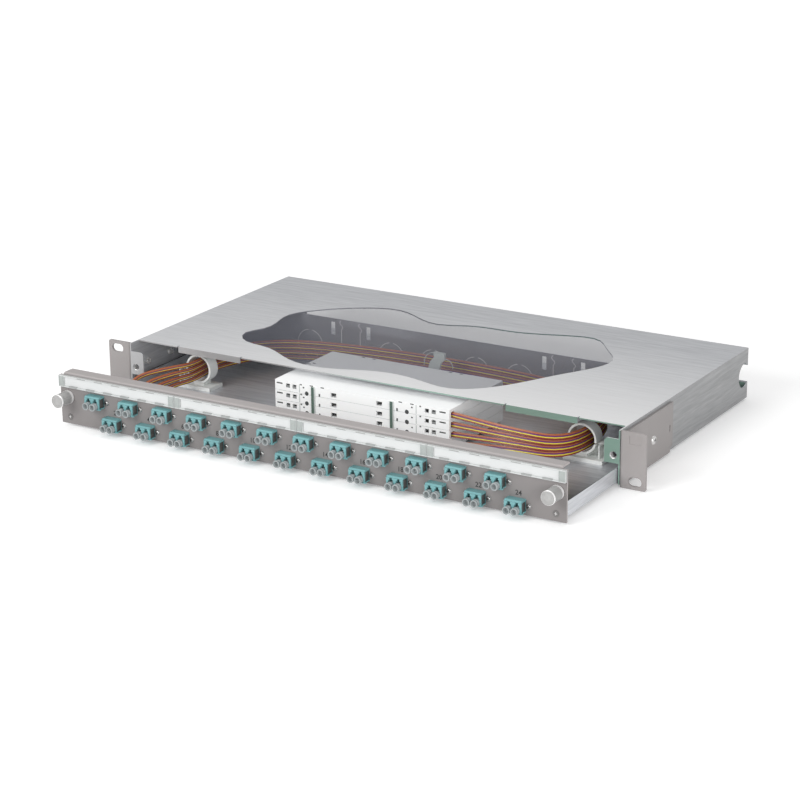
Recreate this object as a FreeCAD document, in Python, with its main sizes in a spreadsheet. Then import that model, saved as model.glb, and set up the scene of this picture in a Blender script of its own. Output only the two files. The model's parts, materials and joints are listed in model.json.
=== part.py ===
import FreeCAD, Part
import Sketcher
import math
import os
import re

# A one-unit fibre patch panel with a sliding drawer, shown with the drawer half way out.
# X runs to the right seen from the front, Y to the back, Z up, in millimetres.
# The origin is the middle of the panel, on the front face of the rack ears, at their lower edge.

doc = FreeCAD.newDocument("fibre_patch_panel")
sheet = doc.addObject("Spreadsheet::Sheet", "dims")

sizes = {
    # rack ears: brackets bent from thicker sheet and screwed to the side walls
    "rack_width": 482.6,
    "ear_height": 43.6,
    "ear_sheet": 2.0,
    "ear_depth": 86.7,
    "ear_side_base": 1.6,
    "ear_side_drop": 3.1,
    "ear_step": 4.0,
    "ear_bend": 2.0,
    "ear_corner": 1.5,
    "wing_slot_inset": 6.0,
    "wing_slot_width": 1.6,
    "wing_slot_length": 5.0,
    "wing_slot_height": 21.0,
    "slot_length": 11.0,
    "slot_width": 6.8,
    "slot_inset": 8.8,
    "slot_height": 5.9,
    "blank_length": 9.5,
    "blank_height": 6.5,
    "blank_depth": 0.4,
    # housing: folded hood, floor plate and the parts on its side walls
    "ear_reach": 21.1,
    "housing_depth": 232.4,
    "housing_base": 1.7,
    "housing_top": 43.4,
    "sheet": 1.0,
    "wall_start": 0.3,
    "cover_start": 11.5,
    "floor_start": 2.0,
    "tab_reach": 11.7,
    "tab_below": 6.2,
    "tab_above": 12.8,
    "tab_chamfer": 2.0,
    "rear_flange": 18.2,
    "lip_inset": 39.2,
    "lip_length": 60.0,
    "lip_drop": 4.0,
    "notch_width": 1.2,
    "notch_depth": 2.5,
    "entry_radius": 10.0,
    "entry_inset": 7.4,
    "entry_height": 22.0,
    "entry_reach": 9.0,
    "window_width": 294.0,
    "window_depth": 174.5,
    "window_front": 21.0,
    "window_shift": -6.0,
    "window_gap": 0.1,
    "bracket_screw_first": 21.0,
    "bracket_screw_pitch": 31.5,
    "bracket_screw_height": 20.5,
    "bracket_head_radius": 3.6,
    "bracket_head_height": 1.6,
    "bracket_shank_radius": 2.0,
    "bracket_bore_gap": 0.2,
    "bracket_nut_radius": 3.15,
    "bracket_nut_height": 2.0,
    "glide_thickness": 0.9,
    "glide_margin": 0.2,
    "glide_start": 4.0,
    "glide_end": 18.4,
    # drawer: where it stands, its front plate and its tray
    "drawer_out": 86.9,
    "plate_overhang": 2.1,
    "plate_top_gap": 0.2,
    "plate_sheet": 1.5,
    "plate_lip": 11.0,
    "plate_lip_gap": 0.6,
    "plate_bend": 2.0,
    "tray_gap": 0.3,
    "tray_floor_gap": 0.2,
    "tray_sheet": 0.8,
    "tray_wall_top": 14.2,
    "tray_rear_clearance": 0.9,
    "closed_gap": 0.3,
    "tray_rear_gap": 0.4,
    "tray_rear_inset": 0.4,
    "tray_tab_reach": 11.2,
    "tray_tab_top": 14.0,
    "breakout_pitch": 99.8,
    "breakout_slot_offset": 17.3,
    "breakout_slot_width": 4.0,
    "breakout_slot_length": 11.0,
    "breakout_slot_drop": 3.0,
    "plate_screw_inset": 5.2,
    "plate_screw_height": 7.4,
    "plate_screw_radius": 1.5,
    "plate_screw_length": 5.0,
    "plate_head_radius": 2.5,
    "plate_head_height": 0.4,
    # label holders
    "label_gap": 0.4,
    "label_drop": 2.0,
    "label_height": 9.2,
    "label_depth": 2.5,
    "label_back": 0.8,
    "label_lip": 0.6,
    "label_channel": 0.7,
    "label_undercut": 0.4,
    "label_end": 5.2,
    "label_fit": 0.1,
    # duplex adaptors: grid, housing, flange and ports
    "port_margin": 34.095,
    "port_shift": -1.795,
    "row_stagger": 15.9,
    "row_rise": 15.9,
    "adaptor_floor_gap": 0.2,
    "adaptor_width": 13.8,
    "adaptor_below": 4.5,
    "adaptor_above": 5.4,
    "adaptor_front": 7.1,
    "adaptor_rear": 19.0,
    "adaptor_slope_depth": 1.0,
    "adaptor_slope_drop": 0.9,
    "adaptor_gap": 0.1,
    "flange_width": 22.4,
    "flange_half_height": 4.4,
    "flange_thickness": 1.7,
    "port_spacing": 6.4,
    "port_width": 4.9,
    "port_height": 4.9,
    "port_drop": 1.6,
    "port_depth": 8.0,
    "key_width": 3.0,
    "key_height": 2.4,
    "screw_spread": 9.2,
    "screw_head_radius": 1.9,
    "screw_head_height": 1.2,
    "cap_radius": 2.35,
    "cap_out": 4.2,
    "cap_in": 6.5,
    "plug_width": 4.5,
    "plug_in": 8.0,
    "plug_out": 10.0,
    "boot_length": 18.0,
    "boot_front": 3.4,
    "boot_rear": 2.2,
    # thumb screws
    "thumb_inset": 4.3,
    "thumb_height": 23.7,
    "thumb_radius": 5.5,
    "thumb_length": 14.3,
    "thumb_gap": 0.2,
    "thumb_shank_radius": 2.0,
    "thumb_shank_length": 8.0,
    "thumb_fit": 0.1,
    "thumb_clip_radius": 2.6,
    "thumb_clip_gap": 0.1,
    "thumb_clip_height": 0.4,
    "thumb_clearance": 0.3,
    "thumb_nut_radius": 4.0,
    "thumb_nut_height": 3.0,
    # splice cassettes and what carries them
    "cassette_width": 156.5,
    "cassette_centre": 4.2,
    "cassette_setback": 78.4,
    "cassette_depth": 83.0,
    "cassette_lift": 2.3,
    "cassette_pitch": 8.0,
    "cassette_gap": 0.25,
    "cassette_wall": 1.6,
    "cassette_floor": 1.2,
    "cassette_window_width": 5.2,
    "cassette_window_height": 3.4,
    "cassette_window_rise": 3.2,
    "cassette_window_left": 53.85,
    "cassette_window_right": 61.55,
    "cassette_pair_width": 3.7,
    "cassette_pair_height": 3.3,
    "cassette_pair_rise": 4.4,
    "cassette_pair_pitch": 6.05,
    "cassette_pair_left": 11.95,
    "cassette_pair_right": 19.65,
    "cassette_exit_width": 5.2,
    "cassette_exit_height": 4.6,
    "cassette_exit_rise": 3.5,
    "cassette_exit_setback": 5.0,
    "lid_thickness": 1.0,
    "holder_margin": 4.0,
    "holder_tongue_length": 34.0,
    "holder_tongue_width": 26.0,
    "latch_width": 10.0,
    "latch_shift": 2.8,
    "latch_thickness": 2.4,
    "latch_gap": 2.0,
    "latch_foot": 5.0,
    "latch_waist": 5.5,
    "latch_curve": 5.0,
    "clip_width": 2.5,
    "clip_thickness": 1.5,
    "clip_left_inset": 35.5,
    "clip_right_inset": 50.1,
    "clip_top": 37.2,
    # cable rings
    "ring_inset": 44.7,
    "ring_setback": 115.4,
    "ring_length": 10.5,
    "ring_height": 20.3,
    "ring_bore": 10.4,
    "ring_wall": 1.6,
    "ring_split": 1.4,
    "ring_split_drop": 3.0,
    "ring_web": 1.6,
    "saddle_inner_reach": 13.5,
    "saddle_outer_reach": 19.2,
    "saddle_lead": 4.2,
    "saddle_depth": 18.2,
    "saddle_thickness": 3.0,
    "post_width": 9.0,
    "comb_width": 5.4,
    "comb_top": 19.0,
    "comb_length": 13.0,
    "comb_wall": 0.9,
    # pigtail bundles
    "bundle_radius": 1.8,
    "bundle_step": 4.4,
}

for row, (alias, value) in enumerate(sizes.items(), start=1):
    sheet.set(f"A{row}", alias)
    sheet.set(f"B{row}", str(value))
    sheet.setAlias(f"B{row}", alias)
doc.recompute()

word = re.compile(r"[a-z_][a-z_0-9]*")
nodes = []


def bound(text):
    # an expression in which each named size points at its cell
    return word.sub(lambda m: "dims." + m.group(0) if m.group(0) in sizes else m.group(0), str(text))


def size(alias):
    # the value that the sheet holds for a name
    return float(sheet.get(alias))


def bind(item, prop, text):
    item.setExpression(prop, bound(text))


def place(item, x=None, y=None, z=None):
    for axis, text in (("x", x), ("y", y), ("z", z)):
        if text is not None:
            bind(item, "Placement.Base." + axis, text)
    return item


def box(name, x, y, z):
    # a block between two limits on each axis
    item = doc.addObject("Part::Box", name)
    bind(item, "Length", f"({x[1]}) - ({x[0]})")
    bind(item, "Width", f"({y[1]}) - ({y[0]})")
    bind(item, "Height", f"({z[1]}) - ({z[0]})")
    return place(item, x[0], y[0], z[0])


turns = {
    "x": FreeCAD.Rotation(FreeCAD.Vector(0, 1, 0), 90),
    "y": FreeCAD.Rotation(FreeCAD.Vector(1, 0, 0), -90),
    "z": FreeCAD.Rotation(),
}


def rod(name, axis, x, y, z, radius, length):
    # a cylinder that starts at a point and runs along +axis
    item = doc.addObject("Part::Cylinder", name)
    bind(item, "Radius", radius)
    bind(item, "Height", length)
    item.Placement = FreeCAD.Placement(FreeCAD.Vector(), turns[axis])
    return place(item, x, y, z)


def prism(name, axis, x, y, z, radius, length, sides=8):
    # a regular bar, used for small pieces that repeat often and for nuts
    item = doc.addObject("Part::Prism", name)
    item.Polygon = sides
    bind(item, "Circumradius", radius)
    bind(item, "Height", length)
    item.Placement = FreeCAD.Placement(FreeCAD.Vector(), turns[axis])
    return place(item, x, y, z)


def fuse(name, items):
    joined = doc.addObject("Part::MultiFuse", name)
    joined.Shapes = items
    joined.Refine = True
    return joined


def cut(name, base, tools):
    result = doc.addObject("Part::Cut", name)
    result.Base = base
    result.Tool = tools[0] if len(tools) == 1 else fuse(name + "_tools", tools)
    result.Refine = True
    return result


def group(name, items):
    # separate solids that share one node
    together = doc.addObject("Part::Compound", name)
    together.Links = items
    return together


def keep(item, label):
    # marks an object as a sub-part of the panel
    item.Label = label
    nodes.append(item)
    return item


def newBody(label):
    return keep(doc.addObject("PartDesign::Body", label), label)


def originPlane(body, role):
    return [part for part in body.Origin.OriginFeatures if part.Role == role][0]


def newSketch(body, name, role, shift):
    sketch = body.newObject("Sketcher::SketchObject", name)
    sketch.AttachmentSupport = [(originPlane(body, role), "")]
    sketch.MapMode = "FlatFace"
    bind(sketch, "AttachmentOffset.Base.z", shift)
    return sketch


def outline(sketch, corners):
    # a closed polygon whose corners are all bound to the sheet
    first = sketch.GeometryCount
    count = len(corners)
    angles = [2 * math.pi * i / count for i in range(count)]
    rough = [FreeCAD.Vector(math.cos(a), math.sin(a), 0) * 20 for a in angles]
    for i in range(count):
        sketch.addGeometry(Part.LineSegment(rough[i], rough[(i + 1) % count]), False)
    for i in range(count):
        sketch.addConstraint(Sketcher.Constraint("Coincident", first + i, 2, first + (i + 1) % count, 1))
    for i, (across, up) in enumerate(corners):
        for kind, text in (("DistanceX", across), ("DistanceY", up)):
            index = sketch.addConstraint(Sketcher.Constraint(kind, -1, 1, first + i, 1, 1.0))
            bind(sketch, f"Constraints[{index}]", text)


def ringLine(sketch, across, up, radius, sides=0):
    # a circle bound to the sheet, or a regular outline round it for the holes of small repeated screws
    if sides:
        wide = 1 / math.cos(math.pi / sides)
        ways = [2 * math.pi * i / sides for i in range(sides)]
        outline(sketch, [(f"{across} + ({radius}) * {wide * math.cos(a):.6f}",
                          f"{up} + ({radius}) * {wide * math.sin(a):.6f}") for a in ways])
        return
    centre = FreeCAD.Vector(1, 1, 0)
    index = sketch.addGeometry(Part.Circle(centre, FreeCAD.Vector(0, 0, 1), 5), False)
    for kind, text in (("DistanceX", across), ("DistanceY", up)):
        mark = sketch.addConstraint(Sketcher.Constraint(kind, -1, 1, index, 3, 1.0))
        bind(sketch, f"Constraints[{mark}]", text)
    mark = sketch.addConstraint(Sketcher.Constraint("Radius", index, 5))
    bind(sketch, f"Constraints[{mark}]", radius)


def pad(body, sketch, length, reverse=False):
    feature = body.newObject("PartDesign::Pad", sketch.Name + "_pad")
    feature.Profile = sketch
    feature.Reversed = reverse
    bind(feature, "Length", length)
    return feature


def pocket(body, sketch, length, reverse=False):
    feature = body.newObject("PartDesign::Pocket", sketch.Name + "_pocket")
    feature.Profile = sketch
    feature.Reversed = reverse
    bind(feature, "Length", length)
    return feature


def rectangle(x, y):
    return [(x[0], y[0]), (x[1], y[0]), (x[1], y[1]), (x[0], y[1])]


def roundEdges(body, name, radius, wanted):
    # rounds the edges of the body's last feature that the test picks
    doc.recompute()
    base = body.Tip
    picked = [f"Edge{i}" for i, edge in enumerate(base.Shape.Edges, start=1) if wanted(edge)]
    feature = body.newObject("PartDesign::Fillet", name)
    feature.Base = (base, picked)
    bind(feature, "Radius", radius)
    return feature


def near(value, target):
    return abs(value - target) < 0.01


def alongX(edge, y, z):
    middle = edge.BoundBox.Center
    return near(edge.BoundBox.YLength + edge.BoundBox.ZLength, 0) and near(middle.y, y) and near(middle.z, z)


def alongY(edge, x, z):
    middle = edge.BoundBox.Center
    straight = near(edge.BoundBox.XLength + edge.BoundBox.ZLength, 0)
    return straight and near(abs(middle.x), x) and near(middle.z, z)


def alongZ(edge, x, y):
    middle = edge.BoundBox.Center
    return near(edge.BoundBox.XLength + edge.BoundBox.YLength, 0) and near(middle.x, x) and near(middle.y, y)


# shorthand for places that several parts share, as expressions of the sizes
outer = "(rack_width / 2 - ear_reach)"
inner = "(rack_width / 2 - ear_reach - sheet)"
coverUnder = "(housing_top - sheet)"
floorTop = "(housing_base + sheet)"
thumbX = f"({inner} - thumb_inset)"
tabBase = "(thumb_height - tab_below)"
tabTop = "(thumb_height + tab_above)"
bracketHeight = {1: "bracket_screw_height", -1: "(ear_height - bracket_screw_height)"}
plateFront = "(-drawer_out)"
plateRear = "(plate_sheet - drawer_out)"
plateTop = "(housing_top - plate_top_gap)"
plateLipHalf = f"({inner} - plate_lip_gap)"
plateHalf = f"({outer} + plate_overhang)"
plateScrewX = f"({inner} - plate_screw_inset)"
trayBase = f"({floorTop} + tray_floor_gap)"
trayTop = f"({trayBase} + tray_sheet)"
trayHalf = f"({inner} - glide_thickness - tray_gap)"
trayInner = f"({trayHalf} - tray_sheet)"
trayDepth = "(housing_depth - sheet - tray_rear_clearance + closed_gap)"
trayEnd = f"({plateRear} + {trayDepth})"
columns = 12
lowerRow = f"({trayTop} + adaptor_floor_gap + adaptor_below)"
portPitch = f"((2 * ({inner} - port_margin) - row_stagger) / {columns - 1})"
labelPitch = f"({plateHalf} / 2)"
ringX = f"({inner} - ring_inset)"
ringFront = f"({plateRear} + ring_setback)"
cassetteBase = f"({trayTop} + cassette_lift)"
cassetteFront = f"({plateRear} + cassette_setback)"


windowRuns = 90


def windowShape(shrink):
    # the free outline of the cover window: a smooth curve through fractions of its width and depth,
    # taken as many short runs so that the pane can lie parallel to its opening
    corners = [
        (0.000, 0.338), (0.018, 0.447), (0.000, 0.620), (0.061, 0.797), (0.153, 0.917), (0.255, 0.963),
        (0.415, 0.848), (0.510, 0.900), (0.640, 0.915), (0.799, 0.989), (0.871, 1.000), (0.935, 0.890),
        (1.000, 0.734), (0.935, 0.436), (0.820, 0.109), (0.745, 0.023), (0.629, 0.060), (0.497, 0.074),
        (0.350, 0.000), (0.235, 0.034), (0.120, 0.140), (0.034, 0.178),
    ]
    left = size("window_shift") - size("window_width") / 2
    front = size("window_front")
    level = size("housing_top") - size("sheet")
    wide = size("window_width")
    deep = size("window_depth")
    curve = Part.BSplineCurve()
    curve.interpolate([FreeCAD.Vector(left + u * wide, front + v * deep, level) for u, v in corners],
                      PeriodicFlag=True)
    points = curve.discretize(Number=windowRuns + 1)[:-1]
    inset = []
    for i, point in enumerate(points):
        # the list runs clockwise seen from above, so the inside lies to the right of the way round
        way = (points[(i + 1) % len(points)] - points[i - 1]).normalize()
        inset.append(point + FreeCAD.Vector(way.y, -way.x, 0) * shrink)
    return Part.Face(Part.makePolygon(inset + inset[:1]))


def housingHood():
    # the cover and both side walls are one folded sheet, open below, at the front and at the rear
    body = newBody("housing_hood")
    section = newSketch(body, "hood_section", "XZ_Plane", "-wall_start")
    outline(section, [
        (f"-{outer}", "housing_base"), (f"-{outer}", "housing_top"), (outer, "housing_top"),
        (outer, "housing_base"), (inner, "housing_base"), (inner, coverUnder),
        (f"-{inner}", coverUnder), (f"-{inner}", "housing_base"),
    ])
    pad(body, section, "housing_depth - wall_start", True)
    # the cover stops short of the front so that the lip of the closed drawer fits in front of it
    relief = newSketch(body, "hood_relief", "XY_Plane", "housing_top")
    outline(relief, rectangle((f"-{inner}", inner), ("wall_start - 1", "cover_start")))
    pocket(body, relief, "sheet * 2")
    # flanges folded in at the rear edge of the side walls
    for side, name in ((-1, "left"), (1, "right")):
        flange = newSketch(body, f"hood_flange_{name}", "XZ_Plane", "-housing_depth")
        edge = f"{side} * ({inner} + sheet / 2)"
        free = f"{side} * ({inner} - rear_flange)"
        outline(flange, rectangle((edge, free), ("housing_base", f"{coverUnder} + sheet / 2")))
        pad(body, flange, "sheet")
        # front tab that takes the thumb screw
        tab = newSketch(body, f"hood_tab_{name}", "XZ_Plane", "-wall_start")
        reach = f"{side} * ({inner} - tab_reach)"
        outline(tab, [
            (edge, tabBase), (edge, tabTop), (f"{side} * ({inner} - tab_reach + tab_chamfer)", tabTop),
            (reach, f"{tabTop} - tab_chamfer"), (reach, tabBase),
        ])
        pad(body, tab, "sheet", True)
        # lip folded down under the front edge of the cover
        lip = newSketch(body, f"hood_lip_{name}", "XZ_Plane", "-cover_start")
        span = (f"{side} * ({inner} - lip_inset - lip_length)", f"{side} * ({inner} - lip_inset)")
        outline(lip, rectangle(span, (f"{coverUnder} - lip_drop", f"{coverUnder} + sheet / 2")))
        pad(body, lip, "sheet", True)
        # small reliefs let the lip fold without tearing the cover
        for end, start in (("near", f"{inner} - lip_inset"), ("far", f"{inner} - lip_inset - lip_length")):
            away = "+" if end == "near" else "-"
            notch = newSketch(body, f"hood_notch_{end}_{name}", "XY_Plane", "housing_top")
            span = (f"{side} * ({start})", f"{side} * ({start} {away} notch_width)")
            outline(notch, rectangle(span, ("cover_start - 1", "cover_start + notch_depth")))
            pocket(body, notch, "sheet * 2")
        hole = newSketch(body, f"hood_thumb_hole_{name}", "XZ_Plane", "-wall_start + 1")
        ringLine(hole, f"{side} * {thumbX}", "thumb_height", "thumb_clip_radius + thumb_clearance")
        pocket(body, hole, "sheet + 2")
        # cable entry cut through the rear edge
        entry = newSketch(body, f"hood_entry_{name}", "YZ_Plane", f"{side} * ({outer} - entry_reach)")
        ringLine(entry, "housing_depth - entry_inset", "entry_height", "entry_radius")
        pocket(body, entry, "entry_reach + 1", side > 0)
        # holes for the bracket screws
        for k in range(2):
            bore = newSketch(body, f"hood_bracket_hole_{name}_{k}", "YZ_Plane", f"{side} * ({outer} - 5)")
            along = f"bracket_screw_first + {k} * bracket_screw_pitch"
            ringLine(bore, along, bracketHeight[side], "bracket_shank_radius + bracket_bore_gap", 8)
            pocket(body, bore, "6", side > 0)
    return body


def hoodWithWindow(body):
    # the opening for the window, cut through the cover
    opening = doc.addObject("Part::Feature", "window_opening")
    thickness = size("sheet")
    prism = windowShape(0).extrude(FreeCAD.Vector(0, 0, 3 * thickness))
    prism.translate(FreeCAD.Vector(0, 0, -thickness))
    opening.Shape = prism
    nodes.remove(body)
    body.Label = "housing_hood_folded"
    return keep(cut("housing_hood_cut", body, [opening]), "housing_hood")


def coverWindow():
    # the tinted pane lies flush in its opening, smaller all round by the gap
    pane = keep(doc.addObject("Part::Feature", "cover_window"), "cover_window")
    pane.Shape = windowShape(size("window_gap")).extrude(FreeCAD.Vector(0, 0, size("sheet")))
    return pane


def housingFloor():
    end = "housing_depth - sheet"
    span = (f"-{inner}", inner)
    return keep(box("housing_floor", span, ("floor_start", end), ("housing_base", floorTop)), "housing_floor")


def ear(name, side):
    # bracket bent from one strip: a flange across the rack rail and a wing along the side wall
    body = newBody(f"ear_{name}")
    strip = newSketch(body, f"ear_strip_{name}", "XY_Plane", "0")
    flush = f"{side} * {outer}"
    wing = f"{side} * ({outer} + ear_sheet)"
    tip = f"{side} * rack_width / 2"
    outline(strip, [
        (flush, "0"), (tip, "0"), (tip, "ear_sheet"), (wing, "ear_sheet"),
        (wing, "ear_depth"), (flush, "ear_depth"),
    ])
    pad(body, strip, "ear_height")
    bend = size("rack_width") / 2 - size("ear_reach")
    roundEdges(body, f"ear_bend_{name}", "ear_bend", lambda e: alongZ(e, side * bend, 0))
    edge = size("rack_width") / 2
    levels = (0, size("ear_height"))
    roundEdges(body, f"ear_corners_{name}", "ear_corner",
               lambda e: any(alongY(e, edge, level) for level in levels))
    # the wing is lower than the flange, with a step at its lower rear corner
    top = newSketch(body, f"ear_wing_top_{name}", "YZ_Plane", f"{side} * ({outer} - 1)")
    outline(top, rectangle(("ear_sheet", "ear_depth + 1"), ("ear_height - ear_side_drop", "ear_height + 1")))
    pocket(body, top, "ear_sheet + 2", side > 0)
    low = newSketch(body, f"ear_wing_base_{name}", "YZ_Plane", f"{side} * ({outer} - 1)")
    outline(low, [
        ("ear_sheet", "-1"), ("ear_depth + 1", "-1"), ("ear_depth + 1", "ear_side_base + ear_step"),
        ("ear_depth - ear_step", "ear_side_base + ear_step"), ("ear_depth - ear_step", "ear_side_base"),
        ("ear_sheet", "ear_side_base"),
    ])
    pocket(body, low, "ear_sheet + 2", side > 0)
    # the open slot of the right ear is low and that of the left ear high: the same bracket turned over
    slotZ = "slot_height" if side > 0 else "ear_height - slot_height"
    blankZ = "ear_height - slot_height" if side > 0 else "slot_height"
    middle = f"{side} * (rack_width / 2 - slot_inset)"
    slot = newSketch(body, f"ear_slot_{name}", "XZ_Plane", "1")
    half = "(slot_length - slot_width) / 2"
    outline(slot, rectangle((f"{middle} - {half}", f"{middle} + {half}"),
                            (f"{slotZ} - slot_width / 2", f"{slotZ} + slot_width / 2")))
    pocket(body, slot, "ear_sheet + 2")
    for end, sign in (("a", "-"), ("b", "+")):
        tipHole = newSketch(body, f"ear_slot_end_{end}_{name}", "XZ_Plane", "1")
        ringLine(tipHole, f"{middle} {sign} {half}", slotZ, "slot_width / 2")
        pocket(body, tipHole, "ear_sheet + 2")
    blank = newSketch(body, f"ear_blank_{name}", "XZ_Plane", "1")
    outline(blank, rectangle((f"{middle} - blank_length / 2", f"{middle} + blank_length / 2"),
                             (f"{blankZ} - blank_height / 2", f"{blankZ} + blank_height / 2")))
    pocket(body, blank, "1 + blank_depth")
    for k in range(2):
        bore = newSketch(body, f"ear_bore_{name}_{k}", "YZ_Plane", f"{side} * ({outer} - 1)")
        along = f"bracket_screw_first + {k} * bracket_screw_pitch"
        ringLine(bore, along, bracketHeight[side], "bracket_shank_radius + bracket_bore_gap", 8)
        pocket(body, bore, "ear_sheet + 2", side > 0)
    notch = newSketch(body, f"ear_wing_slot_{name}", "YZ_Plane", f"{side} * ({outer} - 1)")
    reach = ("ear_depth - wing_slot_inset", "ear_depth - wing_slot_inset + wing_slot_width")
    outline(notch, rectangle(reach, ("wing_slot_height - wing_slot_length / 2",
                                     "wing_slot_height + wing_slot_length / 2")))
    pocket(body, notch, "ear_sheet + 2", side > 0)
    return body


def bracketFasteners():
    screws = []
    nuts = []
    for side, name in ((-1, "left"), (1, "right")):
        for k in range(2):
            along = f"bracket_screw_first + {k} * bracket_screw_pitch"
            height = bracketHeight[side]
            wing = f"({outer} + ear_sheet)"
            start = wing if side > 0 else f"-({wing} + bracket_head_height)"
            head = prism(f"bracket_head_{name}_{k}", "x", start, along, height,
                         "bracket_head_radius", "bracket_head_height", 12)
            depth = f"({outer} - sheet - bracket_nut_height)"
            start = depth if side > 0 else f"-{wing}"
            shank = prism(f"bracket_shank_{name}_{k}", "x", start, along, height,
                          "bracket_shank_radius", f"{wing} - {depth}")
            screws.append(fuse(f"bracket_screw_{name}_{k}", [head, shank]))
            start = depth if side > 0 else f"-{inner}"
            block = prism(f"bracket_nut_block_{name}_{k}", "x", start, along, height,
                          "bracket_nut_radius", "bracket_nut_height", 6)
            start = f"{depth} - 1" if side > 0 else f"-{inner} - 1"
            bore = prism(f"bracket_nut_bore_{name}_{k}", "x", start, along, height,
                         "bracket_shank_radius", "bracket_nut_height + 2")
            nuts.append(cut(f"bracket_nut_{name}_{k}", block, [bore]))
    keep(group("bracket_screws", screws), "bracket_screws")
    keep(group("bracket_nuts", nuts), "bracket_nuts")


def glides():
    # low-friction strips between the side walls and the tray
    for side, name in ((-1, "left"), (1, "right")):
        span = (f"{side} * {inner} - {(1 + side) / 2} * glide_thickness",
                f"{side} * {inner} + {(1 - side) / 2} * glide_thickness")
        strip = box(f"drawer_glide_{name}", span, ("glide_start", "housing_depth - glide_end"),
                    (f"{trayBase} + glide_margin", "tray_wall_top - glide_margin"))
        keep(strip, f"drawer_glide_{name}")


def thumbNuts():
    nuts = []
    for side, name in ((-1, "left"), (1, "right")):
        start = "wall_start + sheet"
        block = prism(f"thumb_nut_block_{name}", "y", f"{side} * {thumbX}", start, "thumb_height",
                      "thumb_nut_radius", "thumb_nut_height", 6)
        bore = rod(f"thumb_nut_bore_{name}", "y", f"{side} * {thumbX}", f"{start} - 1", "thumb_height",
                   "thumb_shank_radius + thumb_clearance", "thumb_nut_height + 2")
        nuts.append(cut(f"thumb_nut_{name}", block, [bore]))
    keep(group("thumb_nuts", nuts), "thumb_nuts")


def drawerTray():
    # floor and low side walls are folded from one sheet, with a full-height rear wall
    body = newBody("drawer_tray")
    section = newSketch(body, "tray_section", "XZ_Plane", f"-{plateRear}")
    outline(section, [
        (f"-{trayHalf}", "tray_wall_top"), (f"-{trayHalf}", trayBase), (trayHalf, trayBase),
        (trayHalf, "tray_wall_top"), (trayInner, "tray_wall_top"), (trayInner, trayTop),
        (f"-{trayInner}", trayTop), (f"-{trayInner}", "tray_wall_top"),
    ])
    pad(body, section, trayDepth, True)
    rear = newSketch(body, "tray_rear", "XZ_Plane", f"-{trayEnd}")
    edge = f"({trayHalf} - tray_rear_inset)"
    reach = (f"{trayTop} - tray_sheet / 2", f"{coverUnder} - tray_rear_gap")
    outline(rear, rectangle((f"-{edge}", edge), reach))
    pad(body, rear, "tray_sheet")
    # ears bent in at the front corners take the screws of the front plate
    for side, name in ((-1, "left"), (1, "right")):
        tab = newSketch(body, f"tray_tab_{name}", "XZ_Plane", f"-{plateRear}")
        wall = f"{side} * ({trayInner} + tray_sheet / 2)"
        free = f"{side} * ({trayInner} - tray_tab_reach)"
        outline(tab, rectangle((wall, free), (f"{trayTop} - tray_sheet / 2", "tray_tab_top")))
        pad(body, tab, "tray_sheet", True)
        hole = newSketch(body, f"tray_tab_hole_{name}", "XZ_Plane", f"1 - {plateRear}")
        ringLine(hole, f"{side} * {plateScrewX}", "plate_screw_height", "plate_screw_radius + 0.1", 8)
        pocket(body, hole, "tray_sheet + 2")
        # slotted break-out panel for cables in the rear wall
        for k, sign in enumerate(("-", "+")):
            slot = newSketch(body, f"tray_slot_{name}_{k}", "XZ_Plane", f"1 - {trayEnd}")
            middle = f"{side} * breakout_pitch {sign} breakout_slot_offset"
            slotTop = f"({coverUnder} - tray_rear_gap - breakout_slot_drop)"
            wide = (f"{middle} - breakout_slot_width / 2", f"{middle} + breakout_slot_width / 2")
            outline(slot, rectangle(wide, (f"{slotTop} - breakout_slot_length", slotTop)))
            pocket(body, slot, "tray_sheet + 2")
    return body


def rowPlace(row, column):
    # middle of an adaptor: upper row first, lower row staggered to the right
    x = f"port_margin - {inner} + port_shift + {column} * {portPitch}"
    z = f"{lowerRow} + row_rise"
    if row:
        x = x + " + row_stagger"
        z = lowerRow
    return x, z


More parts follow.
